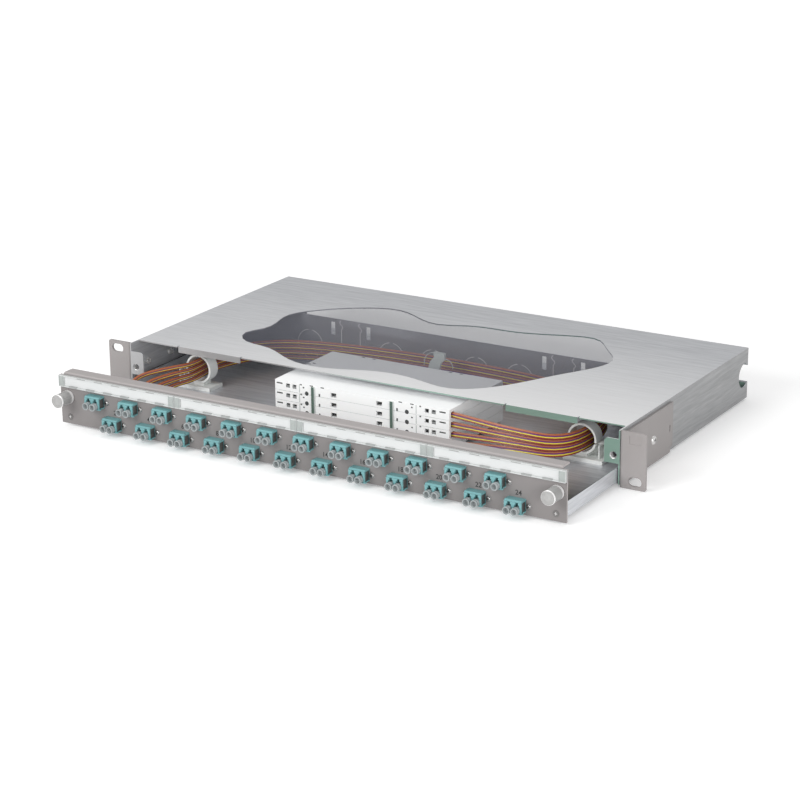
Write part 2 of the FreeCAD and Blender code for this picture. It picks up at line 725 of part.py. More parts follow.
def frontPlate():
    # painted plate with a lip folded back along its top edge
    body = newBody("front_plate")
    section = newSketch(body, "plate_section", "YZ_Plane", f"-{plateLipHalf}")
    outline(section, [
        (plateFront, "housing_base"), (plateFront, plateTop), (f"{plateFront} + plate_lip", plateTop),
        (f"{plateFront} + plate_lip", f"{plateTop} - plate_sheet"), (plateRear, f"{plateTop} - plate_sheet"),
        (plateRear, "housing_base"),
    ])
    pad(body, section, f"2 * {plateLipHalf}")
    bendY = -size("drawer_out")
    bendZ = size("housing_top") - size("plate_top_gap")
    roundEdges(body, "plate_bend_round", "plate_bend", lambda e: alongX(e, bendY, bendZ))
    for side, name in ((-1, "left"), (1, "right")):
        wing = newSketch(body, f"plate_wing_{name}", "XZ_Plane", "drawer_out")
        span = (f"{side} * ({plateLipHalf} - 1)", f"{side} * {plateHalf}")
        outline(wing, rectangle(span, ("housing_base", f"{plateTop} - plate_bend")))
        pad(body, wing, "plate_sheet", True)
        hole = newSketch(body, f"plate_thumb_hole_{name}", "XZ_Plane", "drawer_out + 1")
        ringLine(hole, f"{side} * {thumbX}", "thumb_height", "thumb_shank_radius + thumb_fit")
        pocket(body, hole, "plate_sheet + 2")
        hole = newSketch(body, f"plate_screw_hole_{name}", "XZ_Plane", "drawer_out + 1")
        ringLine(hole, f"{side} * {plateScrewX}", "plate_screw_height", "plate_screw_radius + 0.1", 8)
        pocket(body, hole, "plate_sheet + 2")
    # one cut-out for each adaptor
    for row in range(2):
        openings = newSketch(body, f"plate_cutouts_{row}", "XZ_Plane", "drawer_out + 1")
        for column in range(columns):
            x, z = rowPlace(row, column)
            half = "(adaptor_width / 2 + adaptor_gap)"
            reach = (f"{z} - adaptor_below - adaptor_gap", f"{z} + adaptor_above + adaptor_gap")
            outline(openings, rectangle((f"{x} - {half}", f"{x} + {half}"), reach))
        pocket(body, openings, "plate_sheet + 2")
    return body


def plateScrews():
    screws = []
    for side, name in ((-1, "left"), (1, "right")):
        x = f"{side} * {plateScrewX}"
        head = prism(f"plate_head_{name}", "y", x, f"{plateFront} - plate_head_height", "plate_screw_height",
                     "plate_head_radius", "plate_head_height", 16)
        shank = prism(f"plate_shank_{name}", "y", x, plateFront, "plate_screw_height",
                      "plate_screw_radius", "plate_screw_length")
        screws.append(fuse(f"plate_screw_{name}", [head, shank]))
    keep(group("plate_screws", screws), "plate_screws")


def labelHolders():
    # four clear channels end to end, each with a paper strip held behind its lips
    back = f"({plateFront} - label_back)"
    face = f"({plateFront} - label_depth)"
    channel = f"({plateFront} - label_back - label_channel)"
    low = f"({plateTop} - label_drop - label_height)"
    high = f"({plateTop} - label_drop)"
    strips = []
    for k in range(4):
        start = f"({k} - 2) * {labelPitch} + label_gap / 2"
        body = newBody(f"label_holder_{k + 1}")
        section = newSketch(body, f"label_section_{k + 1}", "YZ_Plane", start)
        under = f"{low} + label_lip"
        over = f"{high} - label_lip"
        outline(section, [
            (plateFront, low), (face, low), (face, f"{under} + label_undercut"),
            (channel, f"{under} + label_undercut"), (channel, under), (back, under), (back, over),
            (channel, over), (channel, f"{over} - label_undercut"), (face, f"{over} - label_undercut"),
            (face, high), (plateFront, high),
        ])
        pad(body, section, f"{labelPitch} - label_gap")
        # both ends are closed blocks
        stops = (start, f"{start} + {labelPitch} - label_gap - label_end")
        for end, at in zip(("a", "b"), stops):
            closed = newSketch(body, f"label_end_{end}_{k + 1}", "YZ_Plane", at)
            outline(closed, rectangle((plateFront, face), (low, high)))
            pad(body, closed, "label_end")
        span = (f"{start} + label_end + label_fit",
                f"{start} + {labelPitch} - label_gap - label_end - label_fit")
        strip = box(f"label_strip_{k + 1}", span, (f"{channel} + label_fit", back),
                    (f"{under} + label_fit", f"{over} - label_fit"))
        strips.append(strip)
    keep(group("label_strips", strips), "label_strips")


def adaptors():
    # one duplex housing is shaped once; each of the 24 is that housing at its own cut-out
    half = "adaptor_width / 2"
    block = box("adaptor_block", (f"-{half}", half), ("-adaptor_front", "adaptor_rear"),
                ("-adaptor_below", "adaptor_above"))
    flange = box("adaptor_flange", ("-flange_width / 2", "flange_width / 2"),
                 ("plate_sheet", "plate_sheet + flange_thickness"),
                 ("-flange_half_height", "flange_half_height"))
    shell = fuse("adaptor_shell", [block, flange])
    tools = []
    for k, sign in enumerate(("-", "+")):
        middle = f"{sign}port_spacing / 2"
        wide = (f"{middle} - port_width / 2", f"{middle} + port_width / 2")
        tall = ("-port_drop - port_height / 2", "-port_drop + port_height / 2")
        deep = ("-adaptor_front - 1", "port_depth - adaptor_front")
        tools.append(box(f"port_front_{k}", wide, deep, tall))
        tools.append(box(f"port_rear_{k}", wide, ("adaptor_rear - port_depth", "adaptor_rear + 1"), tall))
        keyway = (f"{middle} - key_width / 2", f"{middle} + key_width / 2")
        above = ("-port_drop + port_height / 2 - 0.5", "-port_drop + port_height / 2 + key_height")
        tools.append(box(f"key_front_{k}", keyway, deep, above))
    slope = doc.addObject("Part::Wedge", "adaptor_slope")
    for prop, text in (("Xmin", "-adaptor_width"), ("Xmax", "adaptor_width"),
                       ("X2min", "-adaptor_width"), ("X2max", "adaptor_width"),
                       ("Ymin", "-adaptor_front"), ("Ymax", "adaptor_slope_depth - adaptor_front"),
                       ("Zmin", "adaptor_above - adaptor_slope_drop"), ("Zmax", "adaptor_above + 1"),
                       ("Z2min", "adaptor_above"), ("Z2max", "adaptor_above + 1")):
        bind(slope, prop, text)
    ports = fuse("adaptor_ports", tools + [slope])
    for row in range(2):
        for column in range(columns):
            number = 2 * column + row + 1
            x, z = rowPlace(row, column)
            item = doc.addObject("Part::Cut", f"adaptor_{number:02d}")
            item.Base = shell
            item.Tool = ports
            place(item, x, plateFront, z)
            keep(item, f"adaptor_{number:02d}")


def portFittings():
    # screws, dust caps and pigtail plugs repeat at every adaptor
    plugHalf = "plug_width / 2"
    body = box("plug_body", (f"-{plugHalf}", plugHalf), ("-plug_in", "plug_out"), (f"-{plugHalf}", plugHalf))
    boot = doc.addObject("Part::Wedge", "plug_boot")
    for prop, text in (("Xmin", "-boot_front / 2"), ("Xmax", "boot_front / 2"),
                       ("Zmin", "-boot_front / 2"), ("Zmax", "boot_front / 2"),
                       ("X2min", "-boot_rear / 2"), ("X2max", "boot_rear / 2"),
                       ("Z2min", "-boot_rear / 2"), ("Z2max", "boot_rear / 2"),
                       ("Ymin", "plug_out"), ("Ymax", "plug_out + boot_length")):
        bind(boot, prop, text)
    screws = []
    caps = []
    plugs = []
    for row in range(2):
        for column in range(columns):
            x, z = rowPlace(row, column)
            for k, sign in enumerate(("-", "+")):
                tag = f"{row}_{column}_{k}"
                screws.append(prism(f"adaptor_screw_{tag}", "y", f"{x} {sign} screw_spread",
                                    f"{plateFront} - screw_head_height", z,
                                    "screw_head_radius", "screw_head_height", 6))
                port = f"{x} {sign} port_spacing / 2"
                caps.append(prism(f"dust_cap_{tag}", "y", port, f"{plateFront} - adaptor_front - cap_out",
                                  f"{z} - port_drop", "cap_radius", "cap_out + cap_in", 6))
                plug = fuse(f"plug_{tag}", [body, boot])
                place(plug, port, f"{plateFront} + adaptor_rear", f"{z} - port_drop")
                plugs.append(plug)
    keep(group("adaptor_screws", screws), "adaptor_screws")
    keep(group("dust_caps", caps), "dust_caps")
    keep(group("pigtail_plugs", plugs), "pigtail_plugs")


def thumbScrew(name, side):
    # round knob with a shank kept in the plate by a clip
    body = newBody(f"thumb_screw_{name}")
    profile = newSketch(body, f"thumb_profile_{name}", "YZ_Plane", "0")
    rear = f"({plateFront} - thumb_gap)"
    front = f"({plateFront} - thumb_gap - thumb_length)"
    end = f"({plateRear} + thumb_shank_length)"
    clip = f"({plateRear} + thumb_clip_gap)"
    outline(profile, [
        (front, "0"), (front, "thumb_radius"), (rear, "thumb_radius"), (rear, "thumb_shank_radius"),
        (clip, "thumb_shank_radius"), (clip, "thumb_clip_radius"),
        (f"{clip} + thumb_clip_height", "thumb_clip_radius"),
        (f"{clip} + thumb_clip_height", "thumb_shank_radius"), (end, "thumb_shank_radius"), (end, "0"),
    ])
    turn = body.newObject("PartDesign::Revolution", f"thumb_turn_{name}")
    turn.Profile = profile
    turn.ReferenceAxis = (profile, ["H_Axis"])
    turn.Angle = 360
    place(body, f"{side} * {thumbX}", "0", "thumb_height")
    return body


cassetteLeft = "(cassette_centre - cassette_width / 2)"
cassetteRight = "(cassette_centre + cassette_width / 2)"
cassetteRear = f"({cassetteFront} + cassette_depth)"


def cassetteOpenings(body, level, low):
    # windows through the front wall, and the gap in the right wall through which the fibres leave
    windows = newSketch(body, f"cassette_windows_{level}", "XZ_Plane", f"1 - {cassetteFront}")
    large = (f"{cassetteLeft} + cassette_window_left", f"{cassetteRight} - cassette_window_right")
    pairs = (f"{cassetteLeft} + cassette_pair_left", f"{cassetteRight} - cassette_pair_right")
    places = [(x, "cassette_window") for x in large] + [(x, "cassette_pair") for x in pairs]
    places += [(f"{x} + cassette_pair_pitch", "cassette_pair") for x in pairs]
    for x, kind in places:
        z = f"{low} + {kind}_rise"
        outline(windows, rectangle((f"{x} - {kind}_width / 2", f"{x} + {kind}_width / 2"),
                                   (f"{z} - {kind}_height / 2", f"{z} + {kind}_height / 2")))
    pocket(body, windows, "cassette_wall + 1.5")
    way = newSketch(body, f"cassette_exit_{level}", "YZ_Plane", f"{cassetteRight} - cassette_wall - 1")
    y = f"{cassetteFront} + cassette_exit_setback"
    z = f"{low} + cassette_exit_rise"
    outline(way, rectangle((f"{y} - cassette_exit_width / 2", f"{y} + cassette_exit_width / 2"),
                           (f"{z} - cassette_exit_height / 2", f"{z} + cassette_exit_height / 2")))
    pocket(body, way, "cassette_wall + 2", True)


def cassettes():
    # four moulded trays stacked one on the other; the top one carries the lid
    for level in range(4):
        body = newBody(f"splice_cassette_{level + 1}")
        low = f"({cassetteBase} + {level} * cassette_pitch)"
        height = "cassette_pitch - cassette_gap"
        if level == 3:
            height = "cassette_pitch - lid_thickness"
        base = newSketch(body, f"cassette_base_{level}", "XY_Plane", low)
        outline(base, rectangle((cassetteLeft, cassetteRight), (cassetteFront, cassetteRear)))
        pad(body, base, height)
        room = newSketch(body, f"cassette_room_{level}", "XY_Plane", f"{low} + {height}")
        outline(room, rectangle((f"{cassetteLeft} + cassette_wall", f"{cassetteRight} - cassette_wall"),
                                (f"{cassetteFront} + cassette_wall", f"{cassetteRear} - cassette_wall")))
        pocket(body, room, f"{height} - cassette_floor")
        cassetteOpenings(body, level, low)
    top = f"({cassetteBase} + 4 * cassette_pitch)"
    lid = box("cassette_lid", (cassetteLeft, cassetteRight), (cassetteFront, cassetteRear),
              (f"{top} - lid_thickness", top))
    keep(lid, "cassette_lid")


def cassetteHolder():
    # moulded base under the stack, with a tongue to the rear that ends in an upright latch
    plate = box("holder_plate", (f"{cassetteLeft} + holder_margin", f"{cassetteRight} - holder_margin"),
                (f"{cassetteFront} + holder_margin", cassetteRear), (trayTop, cassetteBase))
    tongueEnd = f"({cassetteRear} + holder_tongue_length)"
    latchX = "(cassette_centre + latch_shift)"
    span = (f"{latchX} - holder_tongue_width / 2", f"{latchX} + holder_tongue_width / 2")
    tongue = box("holder_tongue", span, (f"{cassetteRear} - 1", tongueEnd), (trayTop, cassetteBase))
    # the latch rises with a lean: its foot stands to the left of its head
    profile = doc.addObject("Sketcher::SketchObject", "latch_profile")
    profile.Placement = FreeCAD.Placement(FreeCAD.Vector(), FreeCAD.Rotation(FreeCAD.Vector(1, 0, 0), 90))
    place(profile, None, tongueEnd, None)
    left = f"{latchX} - latch_width / 2"
    right = f"{latchX} + latch_width / 2"
    top = f"({coverUnder} - latch_gap)"
    waist = f"{top} - latch_waist"
    outline(profile, [
        (left, top), (right, top), (right, waist),
        (f"{right} - latch_foot * 0.7", f"{waist} - latch_curve * 0.6"),
        (f"{right} - latch_foot", f"{waist} - latch_curve * 1.6"), (f"{right} - latch_foot", trayTop),
        (f"{left} - latch_foot", trayTop), (f"{left} - latch_foot", f"{waist} - latch_curve * 1.6"),
        (f"{left} - latch_foot * 0.7", f"{waist} - latch_curve * 0.6"),
        (left, f"{waist} + latch_curve * 0.2"),
    ])
    latch = doc.addObject("Part::Extrusion", "holder_latch")
    latch.Base = profile
    latch.DirMode = "Normal"
    latch.Solid = True
    bind(latch, "LengthFwd", "latch_thickness")
    keep(fuse("cassette_holder", [plate, tongue, latch]), "cassette_holder")
    bars = []
    middles = {"left": f"{cassetteLeft} + clip_left_inset", "right": f"{cassetteRight} - clip_right_inset"}
    for name, x in middles.items():
        bars.append(box(f"cassette_clip_{name}", (f"{x} - clip_width / 2", f"{x} + clip_width / 2"),
                        (f"{cassetteFront} - clip_thickness", cassetteFront), (trayTop, "clip_top")))
    keep(group("cassette_clips", bars), "cassette_clips")


def cableRing(name, side):
    # saddle with a split ring that keeps the bundles in a bend
    body = newBody(f"cable_ring_{name}")
    seat = newSketch(body, f"ring_seat_{name}", "XY_Plane", trayTop)
    span = (f"{side} * ({ringX} - saddle_inner_reach)", f"{side} * ({ringX} + saddle_outer_reach)")
    start = f"{ringFront} - saddle_lead"
    outline(seat, rectangle(span, (start, f"{start} + saddle_depth")))
    pad(body, seat, "saddle_thickness")
    hoop = newSketch(body, f"ring_hoop_{name}", "XZ_Plane", f"-{ringFront}")
    ringLine(hoop, f"{side} * {ringX}", "ring_height", "ring_bore + ring_wall")
    pad(body, hoop, "ring_length", True)
    post = newSketch(body, f"ring_post_{name}", "XZ_Plane", f"-{ringFront}")
    outline(post, rectangle((f"{side} * {ringX} - post_width / 2", f"{side} * {ringX} + post_width / 2"),
                            (f"{trayTop} + 1", "ring_height - ring_bore - ring_wall / 2")))
    pad(body, post, "ring_length", True)
    # hollow block at the outer end, open to the front, and the web that ties the ring to it
    comb = newSketch(body, f"ring_comb_{name}", "XY_Plane", trayTop)
    combEnd = f"({ringX} + saddle_outer_reach)"
    combStart = f"({combEnd} - comb_width)"
    outline(comb, rectangle((f"{side} * {combStart}", f"{side} * {combEnd}"),
                            (ringFront, f"{ringFront} + comb_length")))
    pad(body, comb, f"comb_top - {trayTop}")
    hollow = newSketch(body, f"ring_hollow_{name}", "XZ_Plane", f"1 - {ringFront}")
    outline(hollow, rectangle((f"{side} * ({combStart} + comb_wall)", f"{side} * ({combEnd} - comb_wall)"),
                              (f"{trayTop} + saddle_thickness", "comb_top - comb_wall")))
    pocket(body, hollow, "1 + comb_length - comb_wall")
    web = newSketch(body, f"ring_web_{name}", "XZ_Plane", f"-({ringFront} + ring_length - ring_web)")
    seatTop = f"({trayTop} + saddle_thickness)"
    outline(web, [
        (f"{side} * {ringX}", f"{seatTop} - 0.5"),
        (f"{side} * ({combStart} + comb_wall / 2)", f"{seatTop} - 0.5"),
        (f"{side} * ({combStart} + comb_wall / 2)", "comb_top - 4"),
        (f"{side} * ({ringX} + ring_bore + ring_wall / 2)", "ring_height - ring_split_drop - 2 * ring_split"),
    ])
    pad(body, web, "ring_web", True)
    bore = newSketch(body, f"ring_bore_{name}", "XZ_Plane", f"1 - {ringFront}")
    ringLine(bore, f"{side} * {ringX}", "ring_height", "ring_bore")
    pocket(body, bore, "ring_length + 2")
    gap = newSketch(body, f"ring_gap_{name}", "XZ_Plane", f"1 - {ringFront}")
    outline(gap, rectangle((f"{side} * ({ringX} + ring_bore / 2)", f"{side} * ({ringX} + 2 * ring_bore)"),
                           ("ring_height - ring_split_drop", "ring_height - ring_split_drop + ring_split")))
    pocket(body, gap, "ring_length + 2")
    return body


def bundleRoute(level):
    # plan points chosen by hand; the heights go from the cassette's exit to a stack in the rings
    floor = size("housing_base") + size("sheet") + size("tray_floor_gap") + size("tray_sheet")
    exitHeight = (floor + size("cassette_lift") + (3 - level) * size("cassette_pitch")
                  + size("cassette_exit_rise"))
    stack = size("ring_height") + (1.5 - level) * size("bundle_step")
    drop = exitHeight - stack
    right = size("cassette_centre") + size("cassette_width") / 2
    ring = size("rack_width") / 2 - size("ear_reach") - size("sheet") - size("ring_inset")
    ringMouth = size("plate_sheet") - size("drawer_out") + size("ring_setback")
    exitLine = size("plate_sheet") - size("drawer_out") + size("cassette_setback")
    exitLine += size("cassette_exit_setback")
    swing = (-14, -6, -1, 1)[level]
    points = [
        FreeCAD.Vector(right - size("cassette_wall") - 3, exitLine, exitHeight),
        FreeCAD.Vector(right + 49, ringMouth - 35.5, exitHeight - drop * 0.84 + 2.9),
        FreeCAD.Vector(ring, ringMouth - 28, stack + 0.4),
    ]
    side = [(3.5, 28), (-14.5, 74)]
    rear = [(104, 95), (0, 103), (-104, 95)]
    loop = [(ring + x, y) for x, y in side] + rear + [(-ring - x, y) for x, y in reversed(side)]
    points += [FreeCAD.Vector(x, ringMouth + y, stack) for x, y in loop]
    # past the left ring the bundles spread, sink and turn in behind the plugs
    tail = [(1.5 - ring, -9, 0), (-4 - ring + swing * 0.3, -26, 0), (-8 - ring + swing, -50, -1.5),
            (-6 - ring + swing, -66.5, -6), (14 - ring, -66.5, -6)]
    points += [FreeCAD.Vector(x, ringMouth + y, stack + z) for x, y, z in tail]
    return points


def roundedPath(points):
    # straight runs joined by tangent arcs, each as large as its two runs allow
    edges = []
    radii = []
    last = points[0]
    for before, corner, after in zip(points, points[1:], points[2:]):
        toBefore = before - corner
        toAfter = after - corner
        turn = math.pi - toBefore.getAngle(toAfter)
        reach = 0.45 * min(toBefore.Length, toAfter.Length)
        radii.append(reach / math.tan(turn / 2))
        first = corner + toBefore.normalize() * reach
        second = corner + toAfter.normalize() * reach
        sag = (first + second) * 0.5 - corner
        inward = FreeCAD.Vector(sag).normalize()
        middle = corner + inward * (radii[-1] / math.cos(turn / 2) - radii[-1])
        edges.append(Part.LineSegment(last, first).toShape())
        edges.append(Part.Arc(first, middle, second).toShape())
        last = second
    edges.append(Part.LineSegment(last, points[-1]).toShape())
    return Part.Wire(edges), radii


bundleSides = 5


def bundles():
    # each cassette sends its fibres round the drawer in one bundle, through both rings
    for level in range(4):
        path, radii = roundedPath(bundleRoute(level))
        radius = size("bundle_radius")
        start = path.Vertexes[0].Point
        along = path.Edges[0].tangentAt(path.Edges[0].FirstParameter)
        aside = along.cross(FreeCAD.Vector(0, 0, 1)).normalize()
        above = aside.cross(along)
        turnStep = 2 * math.pi / bundleSides
        rim = [start + aside * (radius * math.cos(turnStep * i)) + above * (radius * math.sin(turnStep * i))
               for i in range(bundleSides)]
        tube = path.makePipeShell([Part.makePolygon(rim + rim[:1])], True, True)
        expected = bundleSides / 2 * math.sin(turnStep) * radius ** 2 * path.Length
        print(f"bundle {level + 1}: radii {min(radii):.1f} to {max(radii):.1f},"
              f" volume {tube.Volume:.0f} of {expected:.0f}")
        label = f"pigtail_bundle_{level + 1}"
        item = keep(doc.addObject("Part::Feature", label), label)
        item.Shape = tube


def build():
    hood = housingHood()
    housingFloor()
    hoodWithWindow(hood)
    coverWindow()
    for side, name in ((-1, "left"), (1, "right")):
        ear(name, side)
    bracketFasteners()
    glides()
    thumbNuts()
    drawerTray()
    frontPlate()
    plateScrews()
    labelHolders()
    adaptors()
    portFittings()
    cassettes()
    cassetteHolder()
    for side, name in ((-1, "left"), (1, "right")):
        cableRing(name, side)
        thumbScrew(name, side)
    bundles()
    doc.recompute()


def check():
    faults = [o.Name for o in doc.Objects if "Invalid" in o.State or "Error" in o.State]
    for item in doc.Objects:
        # a pocket that points away from the metal would cut nothing
        if item.TypeId == "PartDesign::Pocket" and item.Shape.Volume > item.BaseFeature.Shape.Volume - 0.01:
            faults.append(item.Name + " cuts nothing")
    for item in nodes:
        if item.Shape.isNull() or not item.Shape.isValid() or not item.Shape.Solids:
            faults.append(item.Label)
    if faults:
        raise RuntimeError("not sound: " + ", ".join(faults))


def write():
    os.makedirs("parts", exist_ok=True)
    for item in nodes:
        item.Shape.exportStep(f"parts/{item.Label}.step")
    print(f"{len(nodes)} nodes written")


build()
check()
write()
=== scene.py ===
import json
import math

import bmesh
import bpy
import numpy as np
from mathutils import Matrix, Vector


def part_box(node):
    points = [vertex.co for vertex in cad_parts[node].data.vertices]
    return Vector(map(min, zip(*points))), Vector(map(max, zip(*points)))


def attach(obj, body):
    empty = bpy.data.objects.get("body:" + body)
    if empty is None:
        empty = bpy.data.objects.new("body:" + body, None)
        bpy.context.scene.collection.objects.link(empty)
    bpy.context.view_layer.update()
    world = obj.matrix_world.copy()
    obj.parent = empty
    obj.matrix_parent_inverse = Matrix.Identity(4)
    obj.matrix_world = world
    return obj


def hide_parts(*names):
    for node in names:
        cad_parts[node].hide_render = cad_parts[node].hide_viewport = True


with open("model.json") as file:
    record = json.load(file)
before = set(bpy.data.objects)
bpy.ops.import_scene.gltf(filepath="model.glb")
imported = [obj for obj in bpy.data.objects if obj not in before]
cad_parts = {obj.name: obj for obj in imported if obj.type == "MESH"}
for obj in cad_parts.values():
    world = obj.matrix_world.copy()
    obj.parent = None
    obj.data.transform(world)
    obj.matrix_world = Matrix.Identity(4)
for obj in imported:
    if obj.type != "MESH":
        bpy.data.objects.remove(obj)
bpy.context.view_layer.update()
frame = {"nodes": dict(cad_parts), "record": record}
nodes = frame["nodes"]
mm = 0.001
print("frame loaded")


def gridFaces(rows, columns):
    # quads between neighbours (i, j) and (i + 1, j + 1) of a rows by columns grid whose columns close to a ring
    a, b = np.meshgrid(np.arange(rows - 1), np.arange(columns), indexing="ij")
    ahead = (b + 1) % columns
    corners = [a * columns + b, a * columns + ahead, (a + 1) * columns + ahead, (a + 1) * columns + b]
    return np.stack(corners, axis=-1).reshape(-1, 4)


def capped(rows, columns):
    # closed tube: the grid's faces with one many-sided face at each end
    faces = gridFaces(rows, columns).tolist()
    faces.append(list(range(columns))[::-1])
    faces.append([(rows - 1) * columns + i for i in range(columns)])
    return faces


def joined(parts):
    # one list of points and faces from several, each part's faces shifted past the points before it
    points = np.concatenate([p for p, f in parts])
    starts = np.cumsum([0] + [len(p) for p, f in parts[:-1]])
    faces = [tuple(int(v) + int(s) for v in face) for s, (p, f) in zip(starts, parts) for face in f]
    return points, faces


def addObject(name, data):
    holder = bpy.data.objects.new(name, data)
    bpy.context.scene.collection.objects.link(holder)
    return holder


# angles in degrees: sharper edges stay hard, sharper corners are rounded
edgeStyle = {"hard": 35, "rounded": 40, "segments": 2, "double": 1e-7}


def makePiece(name, parts, looks, body="drawer", smooth=True, bevel=0.0, merge=True):
    # points in millimetres become a mesh in metres at the origin, faces turned outwards and doubles merged
    points, faces = joined(parts)
    mesh = bpy.data.meshes.new(name)
    mesh.from_pydata((np.asarray(points, float) * mm).tolist(), [], [list(map(int, f)) for f in faces])
    if merge:
        work = bmesh.new()
        work.from_mesh(mesh)
        bmesh.ops.remove_doubles(work, verts=work.verts, dist=edgeStyle["double"])
        bmesh.ops.recalc_face_normals(work, faces=work.faces)
        work.to_mesh(mesh)
        work.free()
    piece = addObject(name, mesh)
    for look in [looks] if isinstance(looks, str) else looks:
        mesh.materials.append(finish[look])
    if smooth:
        mesh.shade_smooth()
        mesh.set_sharp_from_angle(angle=math.radians(edgeStyle["hard"]))
    if bevel:
        rounding = piece.modifiers.new("softEdges", "BEVEL")
        rounding.width = bevel * mm
        rounding.segments = edgeStyle["segments"]
        rounding.limit_method = "ANGLE"
        rounding.angle_limit = math.radians(edgeStyle["rounded"])
        rounding.harden_normals = False
    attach(piece, body)
    return piece


def cellSolid(xs, ys, zs, filled):
    # surface of the filled cells of a box grid: a quad wherever a filled cell meets an empty one
    # filled[i, j, k] tells whether the cell between xs[i], xs[i+1] and so on is solid
    solid = np.pad(filled, 1)
    faces = []
    for axis in range(3):
        ahead = np.roll(solid, -1, axis=axis)
        across = [a for a in range(3) if a != axis]
        for meeting, turn in ((solid & ~ahead, 1), (ahead & ~solid, -1)):
            at = np.argwhere(meeting)
            corner = at[at[:, axis] < solid.shape[axis] - 1] - 1
            corner[:, axis] += 1
            loop = []
            for step in ((0, 0), (1, 0), (1, 1), (0, 1))[::turn]:
                c = corner.copy()
                c[:, across] += step
                loop.append((c[:, 0] * len(ys) + c[:, 1]) * len(zs) + c[:, 2])
            faces.append(np.stack(loop, axis=1))
    faces = np.concatenate(faces)
    points = np.stack(np.meshgrid(xs, ys, zs, indexing="ij"), axis=-1).reshape(-1, 3)
    used, back = np.unique(faces, return_inverse=True)
    return points[used], back.reshape(faces.shape)


def turned(profile, centre, segments, axis="y"):
    # profile of (radius, along) pairs turned about an axis: point = centre + along + radius * (cos a, sin a)
    angle = np.linspace(0, 2 * np.pi, segments, endpoint=False)
    radius, along = np.asarray(profile, float).T[..., None]
    first, second = radius * np.cos(angle), radius * np.sin(angle)
    along = np.broadcast_to(along, first.shape)
    order = (along, first, second) if axis == "x" else (first, along, second)
    return np.stack(order, axis=-1).reshape(-1, 3) + centre, gridFaces(len(profile), segments)


def roundedRing(width, height, radius):
    # rounded rectangle about the middle: four quarter circles of the radius, one at each corner
    radius = min(radius, width / 2 - 1e-4, height / 2 - 1e-4)
    a = np.linspace(0, np.pi / 2, 3)
    rows = []
    for quarter, (sx, sy) in enumerate(((1, 1), (-1, 1), (-1, -1), (1, -1))):
        t = a + quarter * np.pi / 2
        rows.append(np.stack([sx * (width / 2 - radius) + radius * np.cos(t),
                              sy * (height / 2 - radius) + radius * np.sin(t)], axis=1))
    return np.concatenate(rows)


def softBlock(low, high, radius, corner=None, axis=1):
    # rounded rectangle carried along one axis: at both ends it is set back by radius * (1 - cos t) and drawn in
    # by radius * (1 - sin t)
    low, high = np.asarray(low, float), np.asarray(high, float)
    across = [a for a in range(3) if a != axis]
    corner = radius if corner is None else corner
    t = np.linspace(0, np.pi / 2, 3)
    inset, depth = radius * (1 - np.sin(t)), radius * (1 - np.cos(t))
    rings = []
    for shrink, at in zip([*inset, *inset[::-1]], [*(low[axis] + depth), *(high[axis] - depth[::-1])]):
        width, height = (high - low)[across] - 2 * shrink
        flat = roundedRing(width, height, max(corner - shrink, 0.02))
        ring = np.full((len(flat), 3), at)
        ring[:, across] = flat + ((low + high) / 2)[across]
        rings.append(ring)
    return np.concatenate(rings), capped(len(rings), len(rings[0]))


def carried(path, section, up=(0, 0, 1)):
    # a section of (aside, above) offsets carried along a path: point = path + aside * side + above * over
    path = np.asarray(path, float)
    ahead = np.gradient(path, axis=0)
    ahead /= np.linalg.norm(ahead, axis=1, keepdims=True)
    side = np.cross(ahead, np.asarray(up, float))
    side /= np.linalg.norm(side, axis=1, keepdims=True)
    over = np.cross(side, ahead)
    section = np.asarray(section, float)
    points = path[:, None] + side[:, None] * section[:, :1] + over[:, None] * section[:, 1:]
    return points.reshape(-1, 3), capped(len(path), len(section))


def circleSection(radius, sides):
    # points of a circle: radius * (cos a, sin a)
    a = np.linspace(0, 2 * np.pi, sides, endpoint=False)
    return np.stack([np.cos(a), np.sin(a)], axis=1) * radius


def smoothLine(points, steps):
    # quadratic B-spline: (1-t)^2 A + 2t(1-t) P + t^2 B at each inner point P, A and B halfway to its neighbours
    points = np.asarray(points, float)
    middle = (points[1:-2] + points[2:-1]) / 2
    start = np.concatenate([points[:1], middle])
    end = np.concatenate([middle, points[-1:]])
    t = np.linspace(0, 1, steps, endpoint=False)[None, :, None]
    curve = (1 - t) ** 2 * start[:, None] + 2 * t * (1 - t) * points[1:-1][:, None] + t ** 2 * end[:, None]
    return np.concatenate([curve.reshape(-1, 3), points[-1:]])


print("tools ready")


def feed(tree, value, socket):
    # a number, vector or colour is set on the socket, another node's output is linked to it
    if isinstance(value, bpy.types.NodeSocket):
        tree.links.new(value, socket)
    else:
        socket.default_value = value


def mathNode(tree, operation, *values):
    node = tree.nodes.new("ShaderNodeMath")
    node.operation = operation
    for value, socket in zip(values, node.inputs):
        feed(tree, value, socket)
    return node.outputs[0]


def times(tree, a, b):
    return mathNode(tree, "MULTIPLY", a, b)


def rangeNode(tree, value, *ends):
    # value carried from between the first two ends to between the last two, and held there
    node = tree.nodes.new("ShaderNodeMapRange")
    for label, given in zip(("Value", "From Min", "From Max", "To Min", "To Max"), (value, *ends)):
        feed(tree, given, node.inputs[label])
    return node.outputs["Result"]


